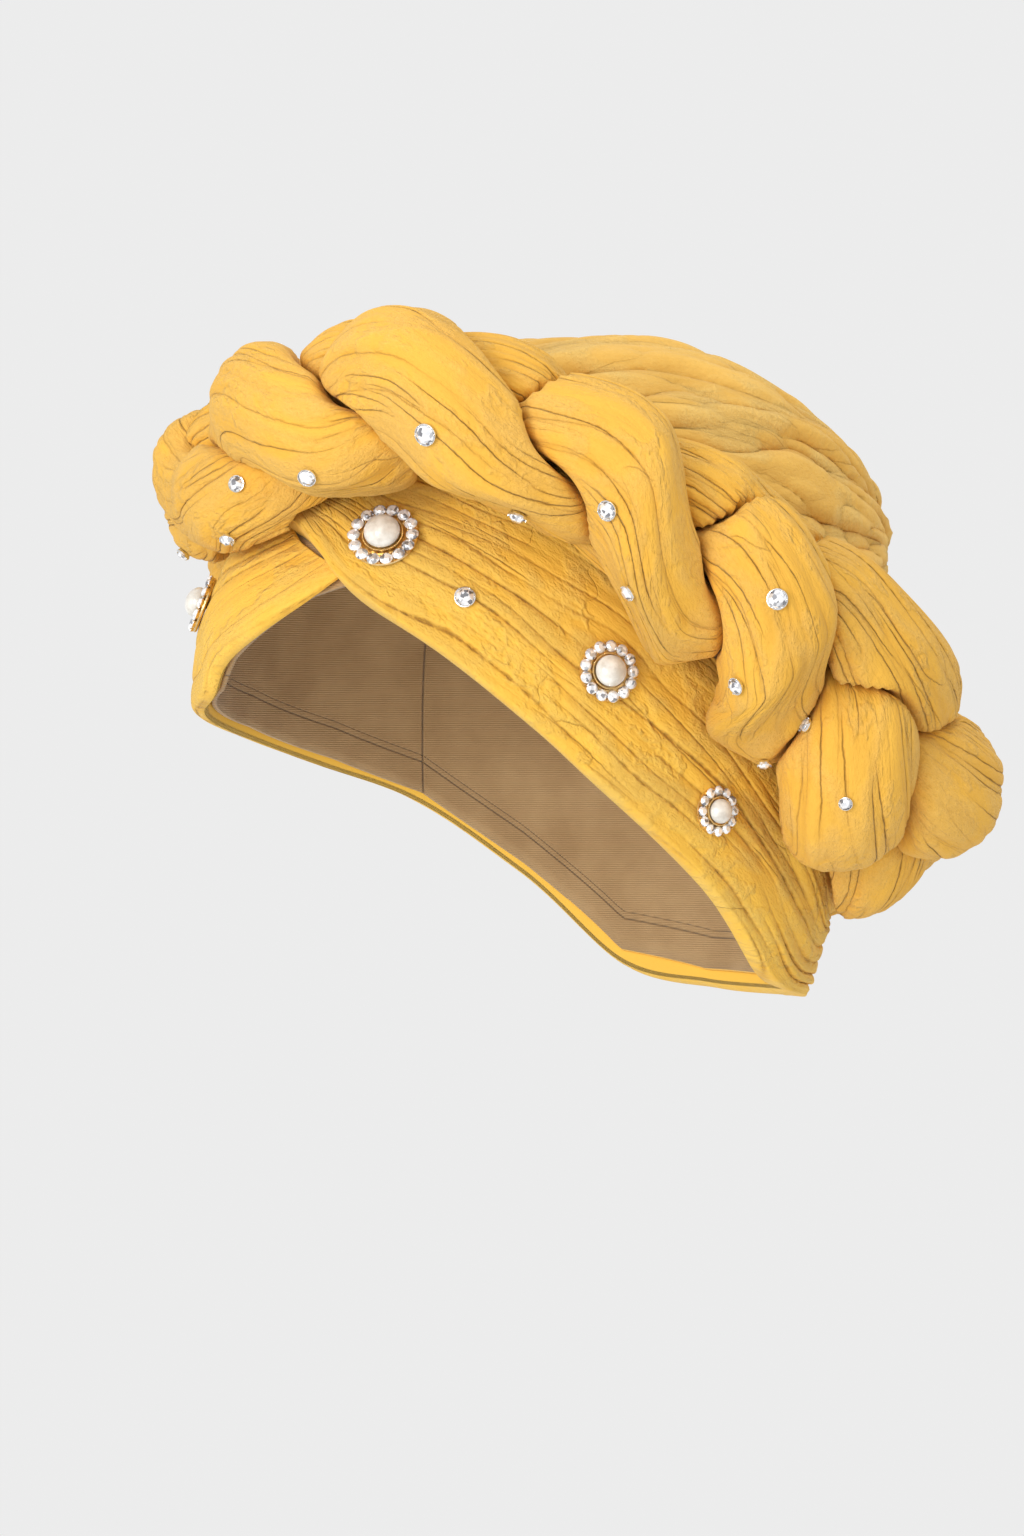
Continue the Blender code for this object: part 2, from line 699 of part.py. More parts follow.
def turned_piece(name, profile, sides, material, frame, collection):
    """Piece turned about its own axis from a profile of radius and height, top to bottom."""
    mesh = bpy.data.meshes.new(name)
    points = [(radius * MM, 0, height * MM) for radius, height in profile]
    mesh.from_pydata(points, [(k, k + 1) for k in range(len(points) - 1)], [])
    mesh.materials.append(material)
    thing = bpy.data.objects.new(name, mesh)
    collection.objects.link(thing)
    thing.matrix_world = frame
    screw = thing.modifiers.new("turn", "SCREW")
    screw.steps = sides
    screw.render_steps = sides
    screw.use_merge_vertices = True
    screw.merge_threshold = 0.00001
    screw.use_smooth_shade = False
    return thing


def stud_profile(diameter):
    """Cut stone in a cup: table, crown facets, girdle and cup wall down to the flat back."""
    radius = diameter / 2
    return ((0, STUD_HEIGHT), (radius * TABLE_SHARE, STUD_HEIGHT), (radius, STUD_GIRDLE),
            (radius * CUP_SHARE, 0), (0, 0))


def pearl_profile(diameter, floor):
    """Domed pearl with a flat back."""
    radius = diameter / 2
    middle = floor + radius * PEARL_MIDDLE
    dome = [(radius * math.sin(math.radians(angle)),
             middle + radius * PEARL_RISE * math.cos(math.radians(angle)))
            for angle in PEARL_ANGLES]
    foot = ((radius * PEARL_FOOT, floor), (0, floor))
    return ((0, middle + radius * PEARL_RISE),) + tuple(dome) + foot


def build_brooch(name, brooch, frame, finish, collection):
    """Round gold setting with a ring of paste stones, and a pearl in its middle."""
    radius = brooch["diameter"] / 2
    collar = brooch["pearl"] / 2 + COLLAR_GAP
    ledge = collar + COLLAR_WIDTH
    plate = turned_piece(name + "_setting", (
        (0, PLATE), (collar, PLATE), (collar + COLLAR_WIDTH / 2, PLATE + COLLAR_HEIGHT),
        (ledge, PLATE), (radius, PLATE), (radius * BACK_SHARE, 0), (0, 0)),
        PLATE_SIDES, finish["gold_metal"], frame, collection)
    ring = (radius + ledge) / 2
    stone = min(radius - ring, math.pi * ring / brooch["stones"]) * STONE_SHARE
    for step in range(brooch["stones"]):
        angle = math.tau * step / brooch["stones"]
        spot = Matrix.Translation(Vector((ring * math.cos(angle), ring * math.sin(angle), 0)) * MM)
        cut = turned_piece(name + "_stone", (
            (0, PLATE + STONE_HEIGHT), (stone * TABLE_SHARE, PLATE + STONE_HEIGHT),
            (stone, PLATE - STONE_SINK), (0, PLATE - STONE_SINK)),
            STUD_SIDES, finish["paste_stone"], frame @ spot, collection)
        fuse(plate, cut)
    turned_piece(name + "_pearl", pearl_profile(brooch["pearl"], PLATE + SEAT_GAP), PEARL_SIDES,
                 finish["pearl_bead"], frame, collection)


def fuse(thing, extra):
    """Join a piece to another with a Boolean union and remove it."""
    union = thing.modifiers.new("fuse", "BOOLEAN")
    union.operation = "UNION"
    union.object = extra
    bpy.context.view_layer.update()
    graph = bpy.context.evaluated_depsgraph_get()
    joined = bpy.data.meshes.new_from_object(thing.evaluated_get(graph))
    thing.modifiers.clear()
    thing.data = joined
    bpy.data.objects.remove(extra, do_unlink=True)


def main():
    clear_scene()
    collection = bpy.data.collections.new("pre_tied_turban")
    bpy.context.scene.collection.children.link(collection)
    finish = {name: make_material(name) for name in MATERIALS}
    cloth = [
        build_cap(finish["cap_cloth"], collection),
        build_band("band_right", BAND_RIGHT_ROWS, finish["turban_cloth"], collection),
        build_band("band_left", BAND_LEFT_ROWS, finish["turban_cloth"], collection),
        build_crown(finish["crown_cloth"], collection),
    ]
    envelope = wrap_envelope()
    frames = strand_hearts(STRAND_STATIONS, envelope)
    for strand in range(STRANDS):
        cloth.append(build_strand(strand, frames, envelope, finish["turban_cloth"], collection))
    bpy.context.view_layer.update()
    trees = [cloth_tree(thing) for thing in cloth]
    for number, row in enumerate(STUD_ROWS, 1):
        stud = dict(zip(STUD_COLUMNS, row))
        turned_piece("stud_%02d" % number, stud_profile(stud["diameter"]), STUD_SIDES,
                     finish["paste_stone"], seat(trees, stud), collection)
    for number, row in enumerate(BROOCH_ROWS, 1):
        brooch = dict(zip(BROOCH_COLUMNS, row))
        build_brooch("brooch_%d" % number, brooch, seat(trees, brooch), finish, collection)


main()
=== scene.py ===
"""Looks of the pre-tied turban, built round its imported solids.

Every cloth piece is made again finely from the sizes of its solid, with its pleats, folds and
creases. Jewels get cut stones, claws and pearls. Tables are in millimetres and degrees.
Turn is measured round the head: 0 is the front, 90 the wearer's left and 180 the nape.
"""
from collections import namedtuple
from math import cos, exp, hypot, pi, radians, sin, sqrt, tau

import bpy
import numpy as np
from mathutils import Matrix, Vector
from mathutils.bvhtree import BVHTree
from mathutils.noise import noise


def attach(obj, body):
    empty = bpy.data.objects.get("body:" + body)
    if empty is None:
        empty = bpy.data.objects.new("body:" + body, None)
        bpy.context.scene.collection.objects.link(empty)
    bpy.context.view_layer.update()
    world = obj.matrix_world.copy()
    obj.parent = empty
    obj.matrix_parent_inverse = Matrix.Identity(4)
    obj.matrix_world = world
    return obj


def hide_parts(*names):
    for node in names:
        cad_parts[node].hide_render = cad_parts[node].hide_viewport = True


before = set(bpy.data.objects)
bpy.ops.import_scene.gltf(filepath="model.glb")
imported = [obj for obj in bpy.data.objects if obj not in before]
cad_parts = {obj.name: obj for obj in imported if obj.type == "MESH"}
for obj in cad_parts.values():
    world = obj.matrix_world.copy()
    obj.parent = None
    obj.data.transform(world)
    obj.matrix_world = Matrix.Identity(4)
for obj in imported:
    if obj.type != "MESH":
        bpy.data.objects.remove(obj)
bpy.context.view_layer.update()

MM = 0.001

# Head that the wrap is worn on
HEAD_TOP = 112.0
TOP_ROOM = 0.5
WIDEST_HEIGHT = 25.0
HEAD_HALF_WIDTH = 75.5
HEAD_FRONT = 96.0
HEAD_BACK = 98.0
HEAD_MIDDLE = Vector((0.0, 8.0, 40.0))
WRAP_BOTTOM = -60.0
UPPER_SIDE_POWER = 2.5
UPPER_ROUND_POWER = 2.7
LOWER_SIDE_REACH = 137.0
LOWER_BACK_REACH = 114.0
LOWER_SIDE_POWER = 2.0
LOWER_BACK_POWER = 3.0

# Inner cap
CAP_WALL = 1.5
CAP_PANELS = 4
CAP_HEM = 10.0
CAP_STITCH = 2.2
CAP_LINES = (0.8, 1.0, 0.5)
CAP_FACING = 45.0
CAP_TUCK = 3.0
CAP_COLUMNS = 200
CAP_ROWS = 48

# Pleated bands: each row is one cut across the band, from its lower to its upper edge
BAND_COLUMNS = ("lower_turn", "lower_height", "lower_lift",
                "upper_turn", "upper_height", "upper_lift", "thickness")
BAND_LEFT_ROWS = (
    (-5, 90, 6.0, -9, 95, 6.0, 3.0),
    (6, 89, 6.0, 4, 98, 5.0, 4.0),
    (20, 85, 6.0, 17, 101.5, 4.0, 5.0),
    (30, 78, 5.5, 30, 104, 2.0, 5.5),
    (38, 69, 4.0, 42, 104, 1.0, 5.5),
    (58, 50, 1.0, 70, 93, 1.0, 6.0),
    (75, 28, 1.0, 90, 75, 1.0, 6.0),
    (88, 9, 1.0, 108, 52, 1.0, 6.5),
    (109, -19, 1.0, 132, 17, 1.0, 7.5),
    (131, -46, 1.0, 160, -20, 1.0, 9.0),
    (155, -52, 1.0, 172, -22, 1.0, 10.0),
    (179.95, -53, 1.0, 179.95, -23, 1.0, 10.0),
)
BAND_RIGHT_ROWS = (
    (37, 74, 1.0, -4, 96, 1.0, 2.0),
    (28, 65, 1.0, -8, 95.5, 1.0, 4.0),
    (16.5, 56, 1.0, -13, 95, 1.0, 5.5),
    (3.6, 46.5, 1.0, -19, 94.5, 1.0, 6.0),
    (-3, 37, 1.0, -26, 93.5, 1.0, 6.0),
    (-18, 33, 1.0, -36, 91, 1.0, 6.0),
    (-45, 26, 1.0, -55, 86, 1.0, 6.0),
    (-70, 16, 1.0, -77, 74, 1.0, 6.0),
    (-90, 5, 1.0, -97, 58, 1.0, 6.5),
    (-110, -18, 1.0, -120, 30, 1.0, 7.5),
    (-131, -46, 1.0, -145, -5, 1.0, 9.0),
    (-155, -52, 1.0, -167, -20, 1.0, 10.0),
    (-179.95, -53, 1.0, -179.95, -23, 1.0, 10.0),
)
KNOT_TURN = 31.0
BAND_STATIONS = 340
BAND_POINTS = 168
BAND_INNER_POINTS = 7
BAND_INNER_EDGE = 0.02
BAND_EDGE = 1.2
BAND_HEM = 0.035
BAND_SETTLE = 6.5
USUAL_PLEATS = 11
# Name, rows, number of pleats, how crisp they are, seed of the noise and node
BANDS = (
    ("pleated_band_right", BAND_RIGHT_ROWS, 7, 0.4, 2.0, "band_right"),
    ("pleated_band_left", BAND_LEFT_ROWS, USUAL_PLEATS, 0.0, 5.0, "band_left"),
)

# Noise over a band: its rate along the band and across it, and the shift of its seed
BAND_NOISES = {
    "drift": (0.011, 2.4, 0),
    "waver": (0.036, 5.0, 3),
    "border": (0.017, 1.7, 9),
    "fine": (0.014, 0.95, 20),
    "fine_mask": (0.018, 3, 40),
    "cross": (0.05, 0.5, 60),
    "swell": (0.02, 0.6, 70),
    "cross_mask": (0.02, 4, 80),
}
PLEAT_DRIFT = 1.50
PLEAT_WAVER = 0.42
PLEAT_DEPTH = 1.15
# Painted shade in the pleats' hollows, and the strength of their thin lines of painted shade
PLEAT_SHADE = 0.18
PLEAT_LINE = 0.85
PLEAT_SWELL = 0.9
LAP_STEEP = 0.10
LAP_SOFT = 0.26

# Kinds of crease in each cloth: how sharp and deep, how much deeper where gathered, how sharp and
# strong its painted shade, and how strong its thin line of painted shade and relief
Crease = namedtuple("Crease", "sharp depth gathered shade_sharp shade line")
BAND_CREASES = (
    Crease(0.10, 0.5, 0.0, 0.10, 0.15, 0.6),
    Crease(0.08, 0.25, 0.0, 0.08, 0.0, 0.5),
)
CROWN_CREASES = (
    Crease(0.17, 3.6, 0.0, 0.17, 0.65, 0.35),
    Crease(0.16, 2.3, 0.0, 0.16, 0.4, 0.5),
    Crease(0.15, 2.0, 0.0, 0.15, 0.25, 0.3),
)
STRAND_CREASES = (
    Crease(0.13, 1.5, 0.9, 0.12, 0.35, 1.0),
    Crease(0.15, 0.8, 0.6, 0.10, 0.3, 0.9),
    Crease(0.10, 0.3, 0.0, 0.10, 0.0, 0.7),
)
NO_CREASES = (9.0, 9.0, 9.0)
NO_LINES = (0, 0, 0)
CREASE_WIDTHS = (0.7, 0.55, 0.45)
STRAND_SLOPES = (0.08, 0.20, 0.11)
CROWN_SLOPES = (0.05, 0.13, 0.09)
BAND_SLOPES = (None, 0.16, 0.09)
LEAST_STEP = 0.1
LEAST_SLOPE = 0.25

# Smooth surface that the strands rest on
ENVELOPE_COLUMNS = 48
ENVELOPE_ROWS = 24
ENVELOPE_STEPS = 14
BAND_OVERHANG = 0.08
CROWN_OVERHANG = 7.0
ENVELOPE_LIFT = 3.5
CLOTH_GAP = 1.0
DRAPE_GAP = 1.9

# Puffed crown: an egg that lies front to back, gathered at its rear pole
CROWN_CENTRE = Vector((0.0, 27.0, 82.0))
CROWN_HALF_WIDTH = 68.0
CROWN_HALF_LENGTH = 97.0
CROWN_RISE = 69.0
CROWN_DROP = 74.0
CROWN_SHOULDER = 1.0
CROWN_WALL = 2.0
CROWN_COLUMNS = 300
CROWN_ROWS = 120
CROWN_FOLD_DEPTH = 2.4
CROWN_SINK = 5.0
CROWN_SINK_START = 0.94
CROWN_SWELL = 3.0
CROWN_BEND = 9
CROWN_RIM_FRONT = 116.0
CROWN_RIM_SLOPE = 0.5
CROWN_RIM_START = -66.0
CROWN_OVER_BAND = 9.5
CROWN_FRONT_END = 30.0
CROWN_FRONT_FADE = 40.0
CROWN_MASK_RATE = 0.4
# Noise of each kind of crease: its rate round the crown, its shift, how far it is stirred, and its
# rate along the crown
CROWN_NOISES = (
    (4.8, (0, 0), (0.4, 0), 0.012),
    (11.0, (5, 5), (0, 0.8), 0.028),
    (8.0, (8, 2), (0, 0), 0.055),
)

# Plaited wreath: one row for each lobe on its outer side, in order round the head
WREATH_COLUMNS = ("turn", "reach", "height", "roll", "inner_share", "girth", "underside",
                  "sag")
WREATH_ROWS = (
    (26, 84, 120, -12, 0.55, 1.0, 31, 0),
    (55, 91, 122, -12, 0.45, 1.06, 24.5, 0),
    (88, 94, 94, -22, 0.4, 1.06, 22, 0),
    (115, 111, 66, -80, 0.5, 1.04, 56, 0.25),
    (136, 119, 22, -138, 1.0, 1.0, 60, 0.3),
    (161, 108, 6, -150, 1.0, 1.0, 60, 0),
    (192, 108, 5, -150, 1.0, 1.0, 60, 0),
    (226, 107, 24, -130, 1.0, 1.0, 60, 0),
    (258, 91, 60, -75, 0.7, 1.0, 60, 0),
    (290, 84, 86, -40, 0.6, 1.0, 60, 0),
    (323, 71, 102, -45, 0.6, 0.9, 60, 0),
    (356, 71, 101, -35, 0.6, 0.88, 60, 0),
)
STRANDS = 3
STRAND_RADIUS = 22.0
STRAND_SWING = 16.0
STRAND_CROSSING = 10.0
STRAND_CREST = 70.0
STRAND_GAP = 1.0
STRAND_STATIONS = 396
STRAND_SIDES = 184
STRAND_HIDDEN_PLACE = 2.04
STRAND_SWELL = 0.9
STRAND_FULLNESS = 0.5
STRAND_LEAST_SHARE = 0.7
STRAND_MASK_RATE = 0.45
# Noise of each kind of crease: its rate round the strand, its shift, how much the seed shifts it,
# and its rate along the strand
STRAND_NOISES = (
    (1.9, (0, 0), (1, 2), 1 / 90),
    (5.2, (5, 0), (1, 1), 1 / 48),
    (2.2, (9, 0), (1, 1), 1 / 21),
)
HEART_CLEARANCE = 4.5
HEART_SPACING = 10.5
SEARCH_REACH = 60.0
LEAST_ROOM = 8.0
LEAST_FACING = 0.01
PLACE_STEP = 0.02
EASE_LOBES = 0.16
ROUND_CORNERS = 9.0

# Line of sight of the picture
PICTURE_WIDTH = 1024
PICTURE_HEIGHT = 1536
PICTURE_FOCUS = 5760.0
VIEW_TURN = 67.0
VIEW_DISTANCE = 1800.0
VIEW_HEIGHT = 16.0
CAMERA_SENSOR = 36.0

# Paste studs: picture place and diameter
STUD_COLUMNS = ("across", "down", "diameter")
STUD_ROWS = (
    (427, 434, 6.8),
    (308, 476, 5.7),
    (238, 484, 5.2),
    (228, 537, 4.9),
    (182, 552, 4.8),
    (519, 513, 6.1),
    (609, 510, 6.3),
    (631, 591, 5.6),
    (465, 598, 6.5),
    (777, 599, 6.4),
    (738, 685, 5.5),
    (809, 727, 5.2),
    (764, 761, 4.5),
    (846, 802, 4.3),
)
STUD_CLAWS = 6
STUD_SIDES = 32
STUD_FLOOR = 1.0
STUD_STONE = 0.86
STUD_CUP = ((0, 0.9), (0.82, 0.9), (0.9, 1.35), (0.99, 1.3), (0.98, 0.7), (0.82, 0), (0, 0))
CLAW = ((0, 1), (0.6, 0.92), (1, 0.6), (0.9, 0), (0, 0))
CLAW_SIDES = 6
# Levels of a cut stone in shares of its radius: reach, height, corners and turn in corners
STONE_LEVELS = ((0.50, 0.62, 8, 0.5), (0.78, 0.42, 8, 0.0), (1.0, 0.12, 16, 0.0),
                (1.0, 0.0, 16, 0.0))
STONE_FACETS = 8
STONE_TURN = 0.3
SEAT_GAP = 0.1
SEAT_SAMPLES = 8
SEAT_SWEEPS = 3
SEAT_REACH = 12.0

# Brooches: picture place, outer diameter, pearl diameter and number of stones round it
BROOCH_COLUMNS = ("across", "down", "diameter", "pearl", "stones")
BROOCH_ROWS = (
    (384, 538, 22.0, 11.0, 14),
    (607, 672, 19.0, 9.5, 13),
    (714, 811, 15.5, 7.5, 12),
    (200, 606, 19.0, 9.5, 13),
)
PLATE = 1.2
PLATE_SIDES = 56
COLLAR_GAP = 0.25
COLLAR_WIDTH = 0.7
COLLAR_HEIGHT = 1.15
BEAD_SPACING = 0.62
BEAD_RADIUS = 0.27
CLAW_REACH = 0.72
STONE_CUP = ((0, 0.3), (0.85, 0.3), (0.93, 0.0), (0.7, -0.9), (0, -0.9))
STONE_CUP_SIDES = 16
PEARL_GAP = 0.3
PEARL_MIDDLE = 0.35
PEARL_RISE = 0.78
PEARL_FOOT = 0.85
PEARL_ANGLES = range(6, 100, 6)
PEARL_SIDES = 48

# Marks that a cloth mesh holds for its material
MARKS = (
    ("flow", "FLOAT_VECTOR", "vector"),
    ("hollow_shade", "FLOAT", "value"),
    ("creases", "FLOAT_VECTOR", "vector"),
    ("strengths", "FLOAT_VECTOR", "vector"),
)

# Cloth colours: lit, slack, painted shade in the hollows and on thin crease lines, and the share of
# raised net
CLOTH_COLOURS = {
    "cloth": ((0.83, 0.46, 0.060), (0.76, 0.40, 0.047), (0.52, 0.23, 0.020),
              (0.36, 0.125, 0.009), 0.8),
    # The band's colours are a lighter copy of the cloth's: painted light against the shade of the
    # lobes above
    "band": ((0.88, 0.52, 0.067), (0.81, 0.45, 0.054), (0.56, 0.25, 0.022),
             (0.36, 0.125, 0.009), 0.8),
    "crown": ((0.88, 0.53, 0.112), (0.79, 0.45, 0.084), (0.42, 0.195, 0.021),
              (0.32, 0.13, 0.013), 0.0),
}

# Grain of the cloth: the scale along and across it, detail and roughness of each noise
CLOTH_NOISES = {
    "wobble": ((0.25, 0.5, 0.5), 2.0, 0.6),
    "crinkle": ((0.26, 0.85, 0.85), 4.0, 0.62),
    "crepe": ((0.60, 0.75, 0.75), 4.0, 0.75),
    "patch": ((0.035, 0.06, 0.06), 2.0, 0.6),
    "warp": ((0.09, 0.12, 0.12), 3.0, 0.6),
    "streak": ((0.02, 0.10, 0.10), 3.0, 0.55),
}
CLOTH_RELIEF = {"crinkle": 0.55, "crepe": 0.35, "sparkle": 1.3, "ridge": 0.35, "line": -0.7}
LINE_WOBBLE = 1.2
PATCH_SPAN = (0.50, 0.60)
NET_SCALE = (0.030, 0.055, 0.055)
NET_WIDTH = 0.16
# Strength of the painted glints, with the crepe's pale speckle, on the crepe patches and raised net
SPARKLE = 0.75
STREAK_SHARE = 0.6
SLACK_PLACE = 0.33
LIT_PLACE = 0.60
HOLLOW_SHADE = 0.75
# Painted glint colour: the lit colour raised by a gain and a lift
GLINT_GAIN = 1.12
GLINT_LIFT = 0.09
LINE_SHADE = 0.8
SEAM_SHADE = 0.7
KNIT_SCALE = 0.45
LINING_RELIEF = {"knit": 0.15, "line": -0.6}

# Numbers of the sockets of a colour mix
COLOUR_FIRST = 6
COLOUR_SECOND = 7
COLOUR_RESULT = 2
MATERIALS = {}

# Studio in metres: each lamp's turn, climb, size and power
FLOOR_HALF = 5.0
FLOOR_HEIGHT = -1.3
SURROUND_LIGHT = 0.84
LAMP_DISTANCE = 1.5
LAMP_ROWS = (
    ("key", 34, 12, 0.5, 6.5),
    ("fill", 48, 0, 1.0, 8),
    ("top", 112, 75, 0.6, 5),
)


def sine(angle):
    """Sine of an angle in degrees."""
    return sin(radians(angle))


def cosine(angle):
    """Cosine of an angle in degrees."""
    return cos(radians(angle))


def smooth_row(columns, rows, place):
    """Named values at a fractional place in a table, on a Catmull-Rom curve through its rows."""
    index = min(int(place), len(rows) - 2)
    step = place - index
    picks = [max(0, min(len(rows) - 1, index + shift)) for shift in (-1, 0, 1, 2)]
    weights = (
        0.5 * (-step + 2 * step ** 2 - step ** 3),
        0.5 * (2 - 5 * step ** 2 + 3 * step ** 3),
        0.5 * (step + 4 * step ** 2 - 3 * step ** 3),
        0.5 * (-step ** 2 + step ** 3),
    )
    return {name: sum(weight * rows[pick][column] for weight, pick in zip(weights, picks))
            for column, name in enumerate(columns)}


def ring_faces(rings, sides, closed=False):
    """Quads between successive rings of points."""
    faces = []
    for ring in range(rings if closed else rings - 1):
        after = (ring + 1) % rings
        for side in range(sides):
            turn = (side + 1) % sides
            faces.append((ring * sides + side, ring * sides + turn,
                          after * sides + turn, after * sides + side))
    return faces


def flipped(faces):
    """Faces turned to look the other way."""
    return [tuple(reversed(face)) for face in faces]


def add_shape(vertices, faces, points, quads):
    """Add a shape's points and faces to those of a larger one."""
    start = len(vertices)
    vertices.extend(points)
    faces.extend(tuple(start + index for index in quad) for quad in quads)


def dome_faces(rings, sides):
    """Quads between rings of points, and triangles from the last ring to one more point."""
    last = (rings - 1) * sides
    return ring_faces(rings, sides) + [(last + side, last + (side + 1) % sides, rings * sides)
                                       for side in range(sides)]


def ease(low, high, value):
    """Smooth step from 0 to 1 between two values."""
    share = min(1.0, max(0.0, (value - low) / (high - low)))
    return share * share * (3 - 2 * share)


def crease(value, width):
    """Depth from 0 to 1 of the sharp valley where a value passes through zero."""
    return exp(-abs(value) / width)


def crease_sums(kinds, values, masks, gather=0.0):
    """Dip, painted shade of hollows and strengths of lines of a place, over its kinds of crease."""
    dip = 0.0
    hollow_shade = 0.0
    for kind, value, mask in zip(kinds, values, masks):
        dip += (kind.depth + kind.gathered * gather) * mask * crease(value, kind.sharp)
        hollow_shade += kind.shade * mask * crease(value, kind.shade_sharp)
    return dip, hollow_shade, [kind.line * mask for kind, mask in zip(kinds, masks)]


def crease_spots(ring, along, lead, kinds):
    """Spots in the noise for a place on a ring of cloth, one for each kind of crease."""
    return [ring * rate + Vector((shift[0] + lead * led[0], shift[1] + lead * led[1], along * slide))
            for rate, shift, led, slide in kinds]


def level_marks(marks, points, rows, slopes):
    """Marks whose crease values are turned into millimetres from the middle of each crease.

    The slope of every value over the grid of points gives the scale, and a crease fades where
    its value hardly changes. Values with no usual slope are in millimetres already.
    """
    columns = len(marks) // rows
    values = np.array([mark[2] for mark in marks]).reshape(rows, columns, 3)
    depths = np.array([mark[3] for mark in marks]).reshape(rows, columns, 3)
    places = np.array(points).reshape(rows, columns, 3)
    steps = []
    for axis in (0, 1):
        rise = np.roll(values, -1, axis) - np.roll(values, 1, axis)
        run = np.linalg.norm(np.roll(places, -1, axis) - np.roll(places, 1, axis), axis=2)
        steps.append(rise / np.maximum(run, LEAST_STEP)[:, :, None])
    slope = np.hypot(*steps)
    for column, usual in enumerate(slopes):
        if usual:
            share = slope[:, :, column] / usual
            values[:, :, column] /= usual * np.maximum(share, LEAST_SLOPE)
            depths[:, :, column] *= np.minimum(1, share) ** 2
    values = values.reshape(-1, 3)
    depths = depths.reshape(-1, 3)
    return [(mark[0], mark[1], value, depth) for mark, value, depth in zip(marks, values, depths)]


def new_object(name, data):
    """Object with its data, put into the scene."""
    thing = bpy.data.objects.new(name, data)
    bpy.context.scene.collection.objects.link(thing)
    return thing


def mesh_object(name, vertices, faces, material, replaced, marks=None, smooth=True):
    """Object with a mesh given in millimetres that stands for CAD nodes.

    Marks hold for every vertex its place along and across the cloth, the painted shade in its
    hollows, the signed distances to the nearest creases of three kinds and their depths.
    """
    mesh = bpy.data.meshes.new(name)
    mesh.from_pydata([tuple(vertex * MM) for vertex in vertices], [], faces)
    mesh.materials.append(MATERIALS[material])
    if smooth:
        mesh.shade_smooth()
    for column, (key, kind, field) in enumerate(MARKS if marks else ()):
        layer = mesh.attributes.new(key, kind, "POINT")
        values = np.array([mark[column] for mark in marks], dtype=np.float32).ravel()
        layer.data.foreach_set(field, values)
    thing = new_object(name, mesh)
    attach(thing, "root")
    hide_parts(*replaced)
    return thing


def head_size(height):
    """Half width, front reach and back reach of the head at a height."""
    if height > WIDEST_HEIGHT:
        rise = min(0.9999, (height - WIDEST_HEIGHT) / (HEAD_TOP - WIDEST_HEIGHT))
        side = (1 - rise ** UPPER_SIDE_POWER) ** (1 / UPPER_SIDE_POWER)
        length = (1 - rise ** UPPER_ROUND_POWER) ** (1 / UPPER_ROUND_POWER)
        return HEAD_HALF_WIDTH * side, HEAD_FRONT * length, HEAD_BACK * length
    drop = WIDEST_HEIGHT - height
    side = (1 - (drop / LOWER_SIDE_REACH) ** LOWER_SIDE_POWER) ** (1 / LOWER_SIDE_POWER)
    back = (1 - (drop / LOWER_BACK_REACH) ** LOWER_BACK_POWER) ** (1 / LOWER_BACK_POWER)
    return HEAD_HALF_WIDTH * side, HEAD_FRONT * side, HEAD_BACK * back


def head_point(turn, height):
    """Point on the head at a turn and height."""
    half_width, front, back = head_size(height)
    angle = radians(turn)
    reach = front if cos(angle) > 0 else back
    return Vector((half_width * sin(angle), -reach * cos(angle), height))


def lifted_point(turn, height, lift):
    """Point that stands off the head by a lift, square to its surface."""
    along = head_point(turn + 0.5, height) - head_point(turn - 0.5, height)
    upward = head_point(turn, height + 0.4) - head_point(turn, height - 0.4)
    outward = along.cross(upward).normalized()
    return head_point(turn, height) + outward * lift


def clear_of_head(point, gap):
    """Move a point out sideways until it stands a gap off the head."""
    if point.z >= HEAD_TOP - 1:
        return point
    half_width, front, back = head_size(point.z)
    length = front if point.y < 0 else back
    reach = hypot(point.x / (half_width + gap), point.y / (length + gap))
    if reach >= 1:
        return point
    return Vector((point.x / reach, point.y / reach, point.z))


def lower_edge(turn):
    """Height of the wrap's lower edge at a turn, taken from both bands."""
    left = [row[:2] for row in BAND_LEFT_ROWS if row[0] > KNOT_TURN]
    right = [row[:2] for row in BAND_RIGHT_ROWS if row[0] < KNOT_TURN]
    turns, heights = zip(*sorted(left + right))
    return float(np.interp(turn, turns, heights))


def build_cap():
    """Thin lining cap with panel seams and a stitched hem, faced with crown cloth at the rear."""
    vertices = []
    marks = []
    panel = 360 / CAP_PANELS
    for row in range(CAP_ROWS):
        for column in range(CAP_COLUMNS):
            turn = -180 + 360 * column / CAP_COLUMNS
            rim = lower_edge(turn) + CAP_TUCK
            climb = sine(90 * row / CAP_ROWS)
            point = head_point(turn, rim + (HEAD_TOP - TOP_ROOM - rim) * climb)
            vertices.append(point)
            apart = abs((turn + panel / 2) % panel - panel / 2)
            seam = radians(apart) * hypot(point.x, point.y)
            hem = point.z - rim - CAP_HEM
            marks.append((point, 0.0, (hem, seam, hem - CAP_STITCH), CAP_LINES))
    vertices.append(Vector((0, 0, HEAD_TOP)))
    marks.append((vertices[-1], 0.0, (HEAD_TOP, 0.0, HEAD_TOP), CAP_LINES))
    faces = dome_faces(CAP_ROWS, CAP_COLUMNS)
    cap = mesh_object("lining_cap", vertices, faces, "lining", ["inner_cap"], marks)
    cap.data.materials.append(MATERIALS["crown"])
    for face in cap.data.polygons:
        if face.center.y > CAP_FACING * MM:
            face.material_index = 1
    add_wall(cap, CAP_WALL)
    cap.modifiers["wall"].material_offset = -1
    return cap


def add_wall(thing, wall):
    """Give a sheet its thickness on the inner side."""
    solidify = thing.modifiers.new("wall", "SOLIDIFY")
    solidify.thickness = wall * MM
    solidify.offset = -1.0
    solidify.use_even_offset = False


